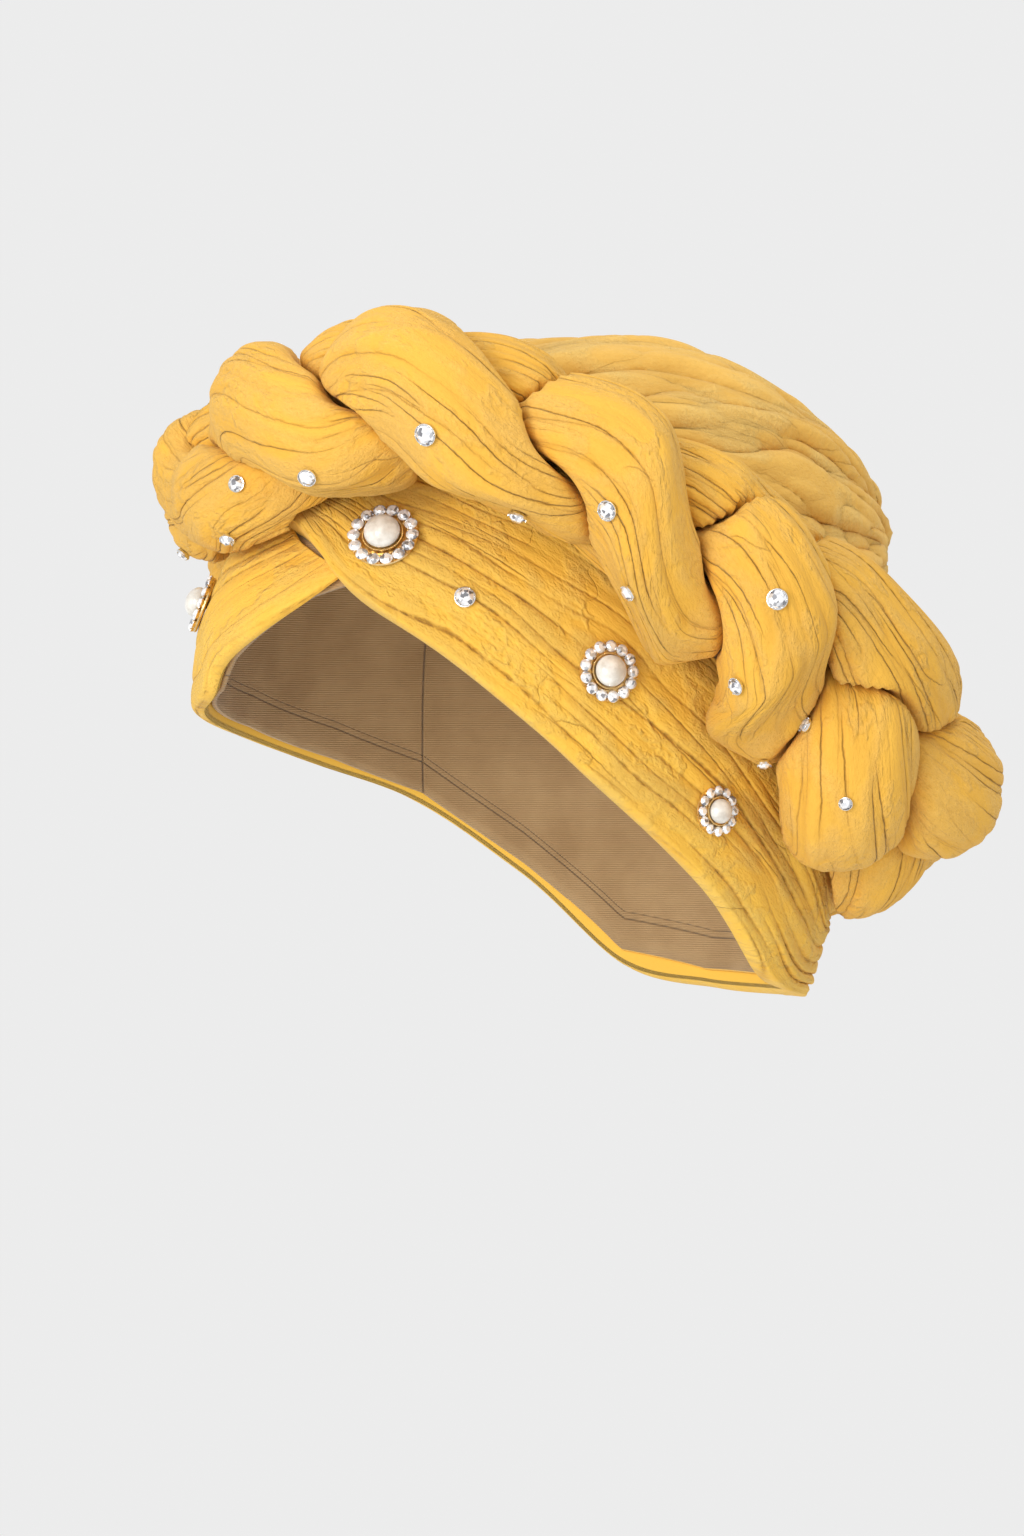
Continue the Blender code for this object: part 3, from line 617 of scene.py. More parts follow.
def band_place(cut, share, lift):
    """Point of a band at a share of its width, from the lower edge 0 to the upper edge 1."""
    turn, height, base = (cut["lower_" + key] + share * (cut["upper_" + key] - cut["lower_" + key])
                          for key in ("turn", "height", "lift"))
    return lifted_point(turn, height, base + lift)


def band_noise(key, along, across, seed):
    """Noise of a named kind at a place of a band."""
    rate, spread, shift = BAND_NOISES[key]
    return noise(Vector((along * rate, across * spread, seed + shift)))


def pleat_place(along, share, pleats, width, crisp, seed):
    """Dip below the pleat tops at a place of a band, with its marks of painted shade and creases."""
    drift = PLEAT_DRIFT * band_noise("drift", along, share, seed)
    drift += PLEAT_WAVER * band_noise("waver", along, share, seed)
    count = share * pleats + drift * pleats / USUAL_PLEATS
    part = count % 1
    edge = min(part, 1 - part)
    border = band_noise("border", along, round(count), seed) + crisp
    full = 0.05 + 0.95 * ease(-0.25, 0.45, border)
    lap = exp(-part / LAP_STEEP) + 0.8 * exp(-(1 - part) / LAP_SOFT)
    values = [band_noise(key, along, share * pleats, seed) for key in ("fine", "cross", "swell")]
    masks = [ease(-0.05, 0.3, band_noise("fine_mask", along, share, seed)),
             ease(0.12, 0.45, band_noise("cross_mask", along, share, seed))]
    dip, hollow_shade, lines = crease_sums(BAND_CREASES, values, masks)
    dip += PLEAT_DEPTH * full * lap + PLEAT_SWELL * (0.5 - values[2])
    hollow_shade += PLEAT_SHADE * full * lap
    room = 0.4 + 0.6 * ease(2.5, 4.5, width / pleats)
    strengths = (PLEAT_LINE * full * room, lines[0] * room, lines[1])
    return dip, min(1.0, hollow_shade), (edge * width / pleats, values[0], values[1]), strengths


def band_settle(cut, share):
    """How far the underside of a band sags where it lies over the other band."""
    base = cut["lower_lift"] + share * (cut["upper_lift"] - cut["lower_lift"])
    return BAND_SETTLE * ease(1.2, 3.5, base)


def build_band(name, rows, pleats, crisp, seed, node):
    """Broad pleated band round one side of the head, with a turned hem on each edge."""
    outside = []
    inside = []
    marks = []
    along = 0.0
    middle_before = None
    for station in range(BAND_STATIONS):
        cut = smooth_row(BAND_COLUMNS, rows, (len(rows) - 1) * station / (BAND_STATIONS - 1))
        middle = band_place(cut, 0.5, 0)
        along += (middle - middle_before).length if middle_before else 0.0
        middle_before = middle
        width = (band_place(cut, 1, 0) - band_place(cut, 0, 0)).length
        top = cut["thickness"] - BAND_EDGE
        deeper = 1 + 0.9 * ease(6.5, 9.5, cut["thickness"])
        for step in range(BAND_POINTS + 1):
            share = step / BAND_POINTS
            rim = min(share, 1 - share)
            dip, hollow_shade, creases, strengths = pleat_place(along, share, pleats, width, crisp, seed)
            shoulder = sqrt(1 - (1 - min(1.0, rim / BAND_HEM)) ** 2)
            lift = BAND_EDGE + (top - min(dip * deeper, top * 0.75)) * shoulder
            outside.append(band_place(cut, share, lift - band_settle(cut, share) * (1 - shoulder)))
            flow = (along, share * width, seed * 50)
            marks.append((flow, hollow_shade * shoulder, creases, strengths))
        for step in range(BAND_INNER_POINTS):
            span = 1 - 2 * BAND_INNER_EDGE
            share = 1 - BAND_INNER_EDGE - span * step / (BAND_INNER_POINTS - 1)
            inside.append(band_place(cut, share, -band_settle(cut, share)))
    marks = level_marks(marks, outside, BAND_STATIONS, BAND_SLOPES)
    plain = (marks[0][0], 0.0, NO_CREASES, NO_LINES)
    vertices = []
    all_marks = []
    for station in range(BAND_STATIONS):
        first = station * (BAND_POINTS + 1)
        start = station * BAND_INNER_POINTS
        vertices += outside[first:first + BAND_POINTS + 1]
        vertices += inside[start:start + BAND_INNER_POINTS]
        all_marks += marks[first:first + BAND_POINTS + 1] + [plain] * BAND_INNER_POINTS
    sides = BAND_POINTS + 1 + BAND_INNER_POINTS
    faces = ring_faces(BAND_STATIONS, sides)
    faces.append(tuple(reversed(range(sides))))
    faces.append(tuple(range(len(vertices) - sides, len(vertices))))
    if rows is BAND_LEFT_ROWS:
        faces = flipped(faces)
    # The band takes the lighter copy of the cloth colours, painted light against the lobes' shade
    band = mesh_object(name, vertices, faces, "band", [node], all_marks)
    return band


def crown_point(around, along, lift):
    """Point of the crown: around its front to back axis, and along it to the rear pole at 180."""
    side = sine(along) * sine(around)
    rise = sine(along) * cosine(around)
    height = CROWN_RISE if rise > 0 else CROWN_DROP
    offset = Vector((CROWN_HALF_WIDTH * side, -CROWN_HALF_LENGTH * cosine(along), height * rise))
    slope = Vector((offset.x / CROWN_HALF_WIDTH ** 2, offset.y / CROWN_HALF_LENGTH ** 2,
                    offset.z / height ** 2)).normalized()
    if along > 90 and rise > 0:
        lift -= CROWN_SHOULDER * sine(2 * along) ** 2 * rise
    point = CROWN_CENTRE + offset + slope * lift
    front = min(1.0, max(0.0, (CROWN_FRONT_END - point.y) / CROWN_FRONT_FADE))
    return clear_of_head(point, CROWN_WALL + DRAPE_GAP + lift + CROWN_OVER_BAND * front)


def crown_start(around):
    """Where a line of the crown leaves its rim, as the angle along the axis."""
    along = 179.0
    while along > 5:
        point = crown_point(around, along, 0)
        if point.z < CROWN_RIM_FRONT - CROWN_RIM_SLOPE * (point.y - CROWN_RIM_START):
            return along
        along -= 0.25
    return along


def crown_grid(columns, rows, lift_at, overhang=0.0):
    """Rings of the crown from its rim, or some degrees before it, to the rear pole."""
    vertices = []
    starts = [crown_start(360 * column / columns) - overhang for column in range(columns)]
    for row in range(rows):
        share = row / rows
        for column in range(columns):
            around = 360 * column / columns
            along = starts[column] + (180 - starts[column]) * share
            vertices.append(crown_point(around, along, lift_at(around, along, share)))
    vertices.append(crown_point(0, 180, lift_at(0, 180, 1.0)))
    return vertices, dome_faces(rows, columns)


def crown_place(around, along, share):
    """Dip of the crown's soft folds at a place, with its marks of painted shade and creases."""
    level = cosine(around)
    bend = CROWN_BEND * noise(Vector((along * 0.02, level * 1.5, 2.2)))
    angle = radians(around + bend * sine(along))
    ring = Vector((cos(angle), sin(angle), 0))
    stir = noise(ring * 2.6 + Vector((7, 1, along * 0.05)))
    spots = crease_spots(ring, along, stir, CROWN_NOISES)
    values = [noise(spot) for spot in spots]
    fine_mask = ease(-0.3, 0.15, noise(spots[1] * CROWN_MASK_RATE))
    masks = (1.0, (0.5 + 0.5 * ease(0.3, 0.95, share)) * fine_mask,
             ease(-0.1, 0.35, noise(spots[2] * CROWN_MASK_RATE)))
    dip, hollow_shade, strengths = crease_sums(CROWN_CREASES, values, masks)
    swell = noise(spots[0] * 1.9 + Vector((4, 4, 4)))
    dip = (dip + CROWN_SWELL * (0.5 - swell)) * ease(-0.1, 0.2, share)
    return dip, min(1.0, hollow_shade), values, strengths


def build_crown():
    """Puffed crown whose folds run from the rim to the gathered rear pole."""
    marks = []

    def lift_at(around, along, share):
        dip, hollow_shade, creases, strengths = crown_place(around, along, share)
        angle = radians(around)
        reach = CROWN_HALF_WIDTH * sine(along)
        flow = (along * 1.5, reach * cos(angle), reach * sin(angle))
        marks.append((flow, hollow_shade, creases, strengths))
        return CROWN_FOLD_DEPTH - dip - (CROWN_SINK - dip) * ease(CROWN_SINK_START, 1.0, share)

    vertices, faces = crown_grid(CROWN_COLUMNS, CROWN_ROWS, lift_at)
    marks = level_marks(marks[:-1], vertices[:-1], CROWN_ROWS, CROWN_SLOPES)
    # The gathered rear pole gets full painted shade
    marks.append(((270, 0, 0), 1.0, NO_CREASES, NO_LINES))
    faces = flipped(faces)
    crown = mesh_object("puffed_crown", vertices, faces, "crown", ["crown"], marks)
    add_wall(crown, CROWN_WALL)
    return crown


def wrap_envelope():
    """Smooth surface just outside the cap, bands and crown, which the strands rest on."""
    vertices = []
    faces = []
    grid = []
    for row in range(ENVELOPE_ROWS + 1):
        climb = sine(90 * row / ENVELOPE_ROWS)
        height = WRAP_BOTTOM + (HEAD_TOP - TOP_ROOM - WRAP_BOTTOM) * climb
        for column in range(ENVELOPE_COLUMNS):
            grid.append(lifted_point(360 * column / ENVELOPE_COLUMNS, height, CLOTH_GAP))
    add_shape(vertices, faces, grid, ring_faces(ENVELOPE_ROWS + 1, ENVELOPE_COLUMNS))
    for table in (BAND_LEFT_ROWS, BAND_RIGHT_ROWS):
        strips = []
        for row in range(ENVELOPE_ROWS + 1):
            cut = smooth_row(BAND_COLUMNS, table, (len(table) - 1) * row / ENVELOPE_ROWS)
            strips.append(band_place(cut, -BAND_OVERHANG, 0))
            for step in range(ENVELOPE_STEPS + 1):
                share = (1 + 2 * BAND_OVERHANG) * step / ENVELOPE_STEPS - BAND_OVERHANG
                lift = BAND_EDGE if step in (0, ENVELOPE_STEPS) else cut["thickness"]
                strips.append(band_place(cut, share, lift + ENVELOPE_LIFT))
            strips.append(band_place(cut, 1 + BAND_OVERHANG, 0))
        width = ENVELOPE_STEPS + 3
        quads = [(row * width + step, row * width + step + 1,
                  (row + 1) * width + step + 1, (row + 1) * width + step)
                 for row in range(ENVELOPE_ROWS) for step in range(width - 1)]
        add_shape(vertices, faces, strips, quads)

    def crown_lift(around, along, share):
        return CROWN_FOLD_DEPTH + ENVELOPE_LIFT if share > 0 else -CROWN_WALL

    shape = crown_grid(ENVELOPE_COLUMNS, ENVELOPE_ROWS, crown_lift, CROWN_OVERHANG)
    add_shape(vertices, faces, *shape)
    return BVHTree.FromPolygons(vertices, faces)


def wreath_sample(place):
    """Middle of the wreath at a place counted in lobes, with the table's values there."""
    first = WREATH_ROWS[0][0]
    rows = [(row[0] + (360 if row[0] < first else 0),) + row[1:] for row in WREATH_ROWS]
    before = [(rows[-1][0] - 360,) + rows[-1][1:]]
    after = [(row[0] + 360,) + row[1:] for row in rows[:2]]
    values = smooth_row(WREATH_COLUMNS, before + rows + after, place % len(rows) + 1)
    angle = radians(values["turn"])
    centre = Vector((values["reach"] * sin(angle), -values["reach"] * cos(angle), values["height"]))
    return centre, values


def wreath_frame(place):
    """Middle of the wreath at a place, its two cross directions and the table's values there."""
    centre, values = wreath_sample(place)
    ahead = wreath_sample(place + PLACE_STEP)[0]
    forward = (ahead - wreath_sample(place - PLACE_STEP)[0]).normalized()
    outward = forward.cross(Vector((0, 0, 1))).normalized()
    upward = outward.cross(forward)
    roll = radians(values["roll"])
    across = cos(roll) * outward + sin(roll) * upward
    above = -sin(roll) * outward + cos(roll) * upward
    return centre, across, above, values


def strand_offset(strand, place, values):
    """Where a strand lies across the plait, and its radius there: fuller on the outer side."""
    phase = radians(STRAND_CREST + 360 / STRANDS * (place - strand))
    inner = values["inner_share"]
    share = inner + (1 - inner) * (1 + sin(phase)) / 2
    swing = STRAND_SWING * sin(phase) * share
    crossing = STRAND_CROSSING * sin(2 * phase) * share
    return swing, crossing, STRAND_RADIUS * values["girth"] * (1 + share) / 2


def soft_limit(limits):
    """Smallest of the limits, eased so that the outline turns in a round corner."""
    return sum(limit ** -ROUND_CORNERS for limit in limits) ** (-1 / ROUND_CORNERS)


def eased(values, reach):
    """Smooth run of values round the wreath that is nowhere below the values themselves."""
    count = len(values)
    spans = range(-reach, reach + 1)
    highest = [max(values[(k + span) % count] for span in spans) for k in range(count)]
    return [sum(highest[(k + span) % count] for span in spans) / len(spans) for k in range(count)]


def wreath_cuts(envelope):
    """Cuts across the wreath, with the middles and radii of its strands clear of the wrap."""
    cuts = []
    for station in range(STRAND_STATIONS):
        place = len(WREATH_ROWS) * station / STRAND_STATIONS
        centre, across, above, values = wreath_frame(place)
        hearts = []
        radii = []
        for strand in range(STRANDS):
            swing, crossing, radius = strand_offset(strand, place, values)
            hearts.append(centre + across * swing + above * crossing)
            radii.append(radius)
        outward = centre - HEAD_MIDDLE
        outward = (across * outward.dot(across) + above * outward.dot(above)).normalized()
        below = -(across * across.z + above * above.z).normalized()
        cuts.append({
            "hearts": hearts, "radii": radii, "across": across, "above": above,
            "outward": outward, "below": below, "sag": values["sag"],
            "order": sorted(range(STRANDS), key=lambda strand: hearts[strand].dot(outward)),
            "floor": centre.dot(below) + values["underside"],
        })
    reach = round(EASE_LOBES * STRAND_STATIONS / len(WREATH_ROWS))
    for lift_of in (wrap_lift, stack_lift):
        lifts = [[lift_of(cut, strand, envelope) for cut in cuts] for strand in range(STRANDS)]
        for strand in range(STRANDS):
            for cut, lift in zip(cuts, eased(lifts[strand], reach)):
                cut["hearts"][strand] = cut["hearts"][strand] + cut["outward"] * lift
    return cuts


def wrap_lift(cut, strand, envelope):
    """How far the middle of a strand has to move out to be a clearance above the wrap."""
    heart = cut["hearts"][strand]
    outward = cut["outward"]
    hit = envelope.ray_cast(heart + outward * SEARCH_REACH, -outward)[0]
    if hit is None:
        return 0.0
    return max(0.0, HEART_CLEARANCE - (heart - hit).dot(outward))


def stack_lift(cut, strand, envelope):
    """How far the middle of a strand has to move out to clear those of the strands below it."""
    hearts = cut["hearts"]
    lift = 0.0
    for lower in cut["order"][:cut["order"].index(strand)]:
        apart = hearts[strand] - hearts[lower]
        level = apart.dot(cut["outward"])
        aside = apart.length_squared - level ** 2
        lift = max(lift, sqrt(max(0.0, HEART_SPACING ** 2 - aside)) - level)
    return lift


def strand_section(cut, strand, envelope):
    """Reach of a strand in each direction, pressed against its neighbours and the wrap below."""
    heart = cut["hearts"][strand]
    below = cut["below"]
    room = max(LEAST_ROOM, cut["floor"] - heart.dot(below))
    section = []
    for side in range(STRAND_SIDES):
        angle = tau * side / STRAND_SIDES
        ray = cut["across"] * cos(angle) + cut["above"] * sin(angle)
        downward = max(LEAST_FACING, ray.dot(below))
        limits = [cut["radii"][strand] * (1 + cut["sag"] * downward ** 2), room / downward]
        for other in cut["hearts"]:
            apart = other - heart
            facing = ray.dot(apart)
            if facing > LEAST_FACING:
                limits.append(apart.length * (apart.length - STRAND_GAP) / 2 / facing)
        hit = envelope.ray_cast(heart, ray)
        if hit[0] is not None:
            limits.append(hit[3])
        section.append((ray, soft_limit(limits)))
    return heart, section


def strand_place(angle, along, squeeze, seed):
    """Dip of a strand's pleats and creases at a place, with its marks of painted shade and creases.
    """
    turn = angle + 0.05 * noise(Vector((along / 16, cos(angle) * 2, seed)))
    ring = Vector((cos(turn), sin(turn), 0))
    spots = crease_spots(ring, along, seed, STRAND_NOISES)
    values = [noise(spot) for spot in spots]
    fine, cross = (noise(spot * STRAND_MASK_RATE) for spot in spots[1:])
    end = ease(0.15, 0.55, squeeze)
    masks = (0.45 + 0.55 * end, ease(-0.32, 0.08, fine + 0.25 * end), 0.7 * ease(0.02, 0.3, cross))
    dip, hollow_shade, strengths = crease_sums(STRAND_CREASES, values, masks, end)
    swell = noise(spots[0] * 1.6 + Vector((3, 3, 3)))
    return dip + STRAND_SWELL * (0.5 - swell), min(1.0, hollow_shade), values, strengths


def build_strand(strand, cuts, envelope):
    """One of the three padded strands, a closed loop with long pleats."""
    count = len(cuts)
    shift = round(count * (strand + STRAND_HIDDEN_PLACE) / len(WREATH_ROWS))
    order = [cuts[(station + shift) % count] for station in range(count)]
    hearts = [cut["hearts"][strand] for cut in order]
    places = [0.0]
    for first, second in zip(hearts, hearts[1:] + hearts[:1]):
        places.append(places[-1] + (second - first).length)
    vertices = []
    marks = []
    seed = 11.0 * (strand + 1)
    for cut, place in zip(order, places):
        heart, section = strand_section(cut, strand, envelope)
        along = min(place, places[-1] - place)
        for side, (ray, reach) in enumerate(section):
            angle = tau * side / STRAND_SIDES
            squeeze = 1 - reach / STRAND_RADIUS
            dip, hollow_shade, creases, strengths = strand_place(angle, along, squeeze, seed)
            full = reach + STRAND_FULLNESS - dip
            vertices.append(heart + ray * max(reach * STRAND_LEAST_SHARE, full))
            flow = (along, STRAND_RADIUS * cos(angle) + seed, STRAND_RADIUS * sin(angle))
            marks.append((flow, hollow_shade, creases, strengths))
    marks = level_marks(marks, vertices, count, STRAND_SLOPES)
    faces = flipped(ring_faces(count, STRAND_SIDES, True))
    thing = mesh_object("padded_strand_%d" % (strand + 1), vertices, faces, "cloth",
                        ["braid_strand_%d" % (strand + 1)], marks)
    return thing


def view_direction(turn):
    """Level direction from the head to a turn round it."""
    return Vector((sine(turn), -cosine(turn), 0))


def picture_ray(across, down):
    """Eye and line of sight through a place in the picture."""
    back = view_direction(VIEW_TURN)
    right = Vector((-back.y, back.x, 0))
    eye = back * VIEW_DISTANCE + Vector((0, 0, VIEW_HEIGHT))
    sight = (right * (across - PICTURE_WIDTH / 2) + Vector((0, 0, PICTURE_HEIGHT / 2 - down))
             - back * PICTURE_FOCUS)
    return eye, sight.normalized()


def cloth_tree(thing):
    """Search tree over the faces of a piece of cloth."""
    mesh = thing.data
    return BVHTree.FromPolygons([vertex.co / MM for vertex in mesh.vertices],
                                [tuple(face.vertices) for face in mesh.polygons])


def first_cloth(trees, across, down):
    """Tree of the cloth seen at a picture place, with the point and normal there."""
    eye, sight = picture_ray(across, down)
    hits = [(tree.ray_cast(eye, sight), tree) for tree in trees]
    hits = [(hit[3], hit[0], hit[1], tree) for hit, tree in hits if hit[0] is not None]
    if not hits:
        return first_cloth(trees, across + 1, down)
    return min(hits, key=lambda hit: hit[0])[1:]


def rim_points(centre, normal, radius, steps):
    """Points evenly round a circle that faces along a normal."""
    side = Vector((0, 0, 1)).cross(normal).normalized()
    rise = normal.cross(side)
    angles = [tau * step / steps for step in range(steps)]
    return [centre + (side * cos(angle) + rise * sin(angle)) * radius for angle in angles]


def seat(trees, jewel):
    """Frame of a jewel that lies on the cloth at its picture place, its back just on it."""
    centre, normal, tree = first_cloth(trees, jewel["across"], jewel["down"])
    radius = jewel["diameter"] / 2
    lifts = []
    for sweep in range(SEAT_SWEEPS):
        rim = rim_points(centre + normal * SEAT_REACH, normal, radius, SEAT_SAMPLES)
        spots = [tree.ray_cast(point, -normal, 2 * SEAT_REACH)[0] for point in rim]
        spots = [spot for spot in spots if spot is not None]
        total = Vector()
        for first, second in zip(spots, spots[1:] + spots[:1]):
            total += (first - centre).cross(second - centre)
        if total.dot(normal) > 0:
            normal = total.normalized()
        lifts = sorted((spot - centre).dot(normal) for spot in spots)
    lift = max(0.0, lifts[-2]) if len(lifts) > 2 else 0.0
    place = centre + normal * (lift + SEAT_GAP)
    side = Vector((0, 0, 1)).cross(normal).normalized()
    turned_to = Matrix((side, normal.cross(side), normal)).transposed().to_4x4()
    return Matrix.Translation(place) @ turned_to


def join_shapes(name, shapes, stand, node):
    """One object from shapes of points, faces and material, laid into a jewel's frame."""
    vertices = []
    faces = []
    names = []
    picks = []
    for points, quads, material in shapes:
        add_shape(vertices, faces, [stand @ Vector(point) for point in points], quads)
        if material not in names:
            names.append(material)
        picks.extend([names.index(material)] * len(quads))
    thing = mesh_object(name, vertices, faces, names[0], [node], smooth=False)
    for extra in names[1:]:
        thing.data.materials.append(MATERIALS[extra])
    thing.data.polygons.foreach_set("material_index", picks)
    return thing


def ring_spots(count, radius, height, spot=(0, 0, 0), turn=0.0):
    """Places evenly round a circle at a height above a spot, from a first turn on."""
    angles = [tau * step / count + turn for step in range(count)]
    return [(spot[0] + radius * cos(angle), spot[1] + radius * sin(angle),
             spot[2] + height) for angle in angles]


def turned(material, profile, sides, spot=(0, 0, 0)):
    """Closed shape turned from a profile of radius and height, top to bottom."""
    points = []
    for radius, height in profile[1:-1]:
        points += ring_spots(sides, radius, height, spot)
    faces = flipped(ring_faces(len(profile) - 2, sides))
    last = len(points) - sides
    points += ring_spots(1, 0, profile[0][1], spot) + ring_spots(1, 0, profile[-1][1], spot)
    for side in range(sides):
        after = (side + 1) % sides
        faces.append((side, after, len(points) - 2))
        faces.append((last + after, last + side, len(points) - 1))
    return points, faces, material


def cut_stone(radius, spot, turn):
    """Round cut stone: table, star and kite facets, girdle and a short pavilion."""
    points = []
    starts = []
    for reach, height, sides, phase in STONE_LEVELS:
        starts.append(len(points))
        points += ring_spots(sides, radius * reach, radius * height, spot, turn + tau * phase / sides)
    table, kite, girdle, base = starts
    edges = 2 * STONE_FACETS
    faces = [tuple(table + side for side in range(STONE_FACETS))]
    for side in range(STONE_FACETS):
        after = (side + 1) % STONE_FACETS
        faces.append((table + side, kite + side, kite + after))
        faces.append((table + side, kite + after, table + after))
        lower = [girdle + (2 * side + shift) % edges for shift in (-1, 0, 1)]
        faces.append((kite + side, lower[0], lower[1]))
        faces.append((kite + side, lower[1], lower[2]))
        faces.append((kite + side, lower[2], kite + after))
    for side in range(edges):
        after = (side + 1) % edges
        faces.append((girdle + side, base + side, base + after, girdle + after))
    faces.append(tuple(reversed([base + side for side in range(edges)])))
    return points, faces, "stone"


def scaled_profile(profile, radius, height=1.0):
    """Profile of shares made into a profile of radius and height."""
    return tuple((radius * across, height * up) for across, up in profile)


def claw(material, radius, spot, height):
    """Small rounded claw that holds a stone's edge."""
    return turned(material, scaled_profile(CLAW, radius, height), CLAW_SIDES, spot)


def build_stud(number, stud, stand):
    """Single cut stone in a cup with a bright rim and its claws."""
    radius = stud["diameter"] / 2
    shapes = [turned("silver", scaled_profile(STUD_CUP, radius), STUD_SIDES),
              cut_stone(radius * STUD_STONE, (0, 0, STUD_FLOOR), STONE_TURN * number)]
    for spot in ring_spots(STUD_CLAWS, radius * 0.9, STUD_FLOOR):
        shapes.append(claw("silver", radius * 0.09, spot, 0.85))
    join_shapes("rhinestone_%02d" % number, shapes, stand, "stud_%02d" % number)


def build_brooch(number, brooch, stand):
    """Gold setting with a beaded collar, a ring of cut stones in claws, and a pearl."""
    radius = brooch["diameter"] / 2
    pearl = brooch["pearl"] / 2
    count = brooch["stones"]
    collar = pearl + COLLAR_GAP
    plate = ((0, PLATE), (collar, PLATE), (collar + 0.15, PLATE + COLLAR_HEIGHT),
             (collar + 0.5, PLATE + COLLAR_HEIGHT), (collar + COLLAR_WIDTH, PLATE * 0.8),
             (radius * 0.93, PLATE * 0.8), (radius * 0.95, PLATE * 0.4), (radius * 0.9, 0), (0, 0))
    shapes = [turned("gold", plate, PLATE_SIDES)]
    beads = round(tau * (collar + COLLAR_WIDTH / 2) / BEAD_SPACING)
    for spot in ring_spots(beads, collar + 0.33, PLATE + 1.0):
        shapes.append(claw("gold", BEAD_RADIUS, spot, 0.42))
    stone = 0.99 * pi * radius / (count + pi)
    ring = radius - stone
    between = pi / count
    for step, spot in enumerate(ring_spots(count, ring, PLATE + 0.55)):
        shapes.append(turned("gold", scaled_profile(STONE_CUP, stone), STONE_CUP_SIDES, spot))
        shapes.append(cut_stone(stone, spot, 2 * between * step + 0.2 * step))
    for reach in (-CLAW_REACH, CLAW_REACH):
        for spot in ring_spots(count, ring + reach * stone, PLATE + 0.3, turn=between):
            shapes.append(claw("gold", 0.24, spot, 0.75))
    node = "brooch_%d" % number
    join_shapes("brooch_setting_%d" % number, shapes, stand, node + "_setting")
    floor = PLATE + PEARL_GAP
    middle = floor + pearl * PEARL_MIDDLE
    rise = pearl * PEARL_RISE
    dome = [(pearl * sine(angle), middle + rise * cosine(angle)) for angle in PEARL_ANGLES]
    profile = ((0, middle + rise),) + tuple(dome) + ((pearl * PEARL_FOOT, floor), (0, floor))
    bead = join_shapes("brooch_pearl_%d" % number, [turned("pearl", profile, PEARL_SIDES)], stand,
                       node + "_pearl")
    bead.data.shade_smooth()


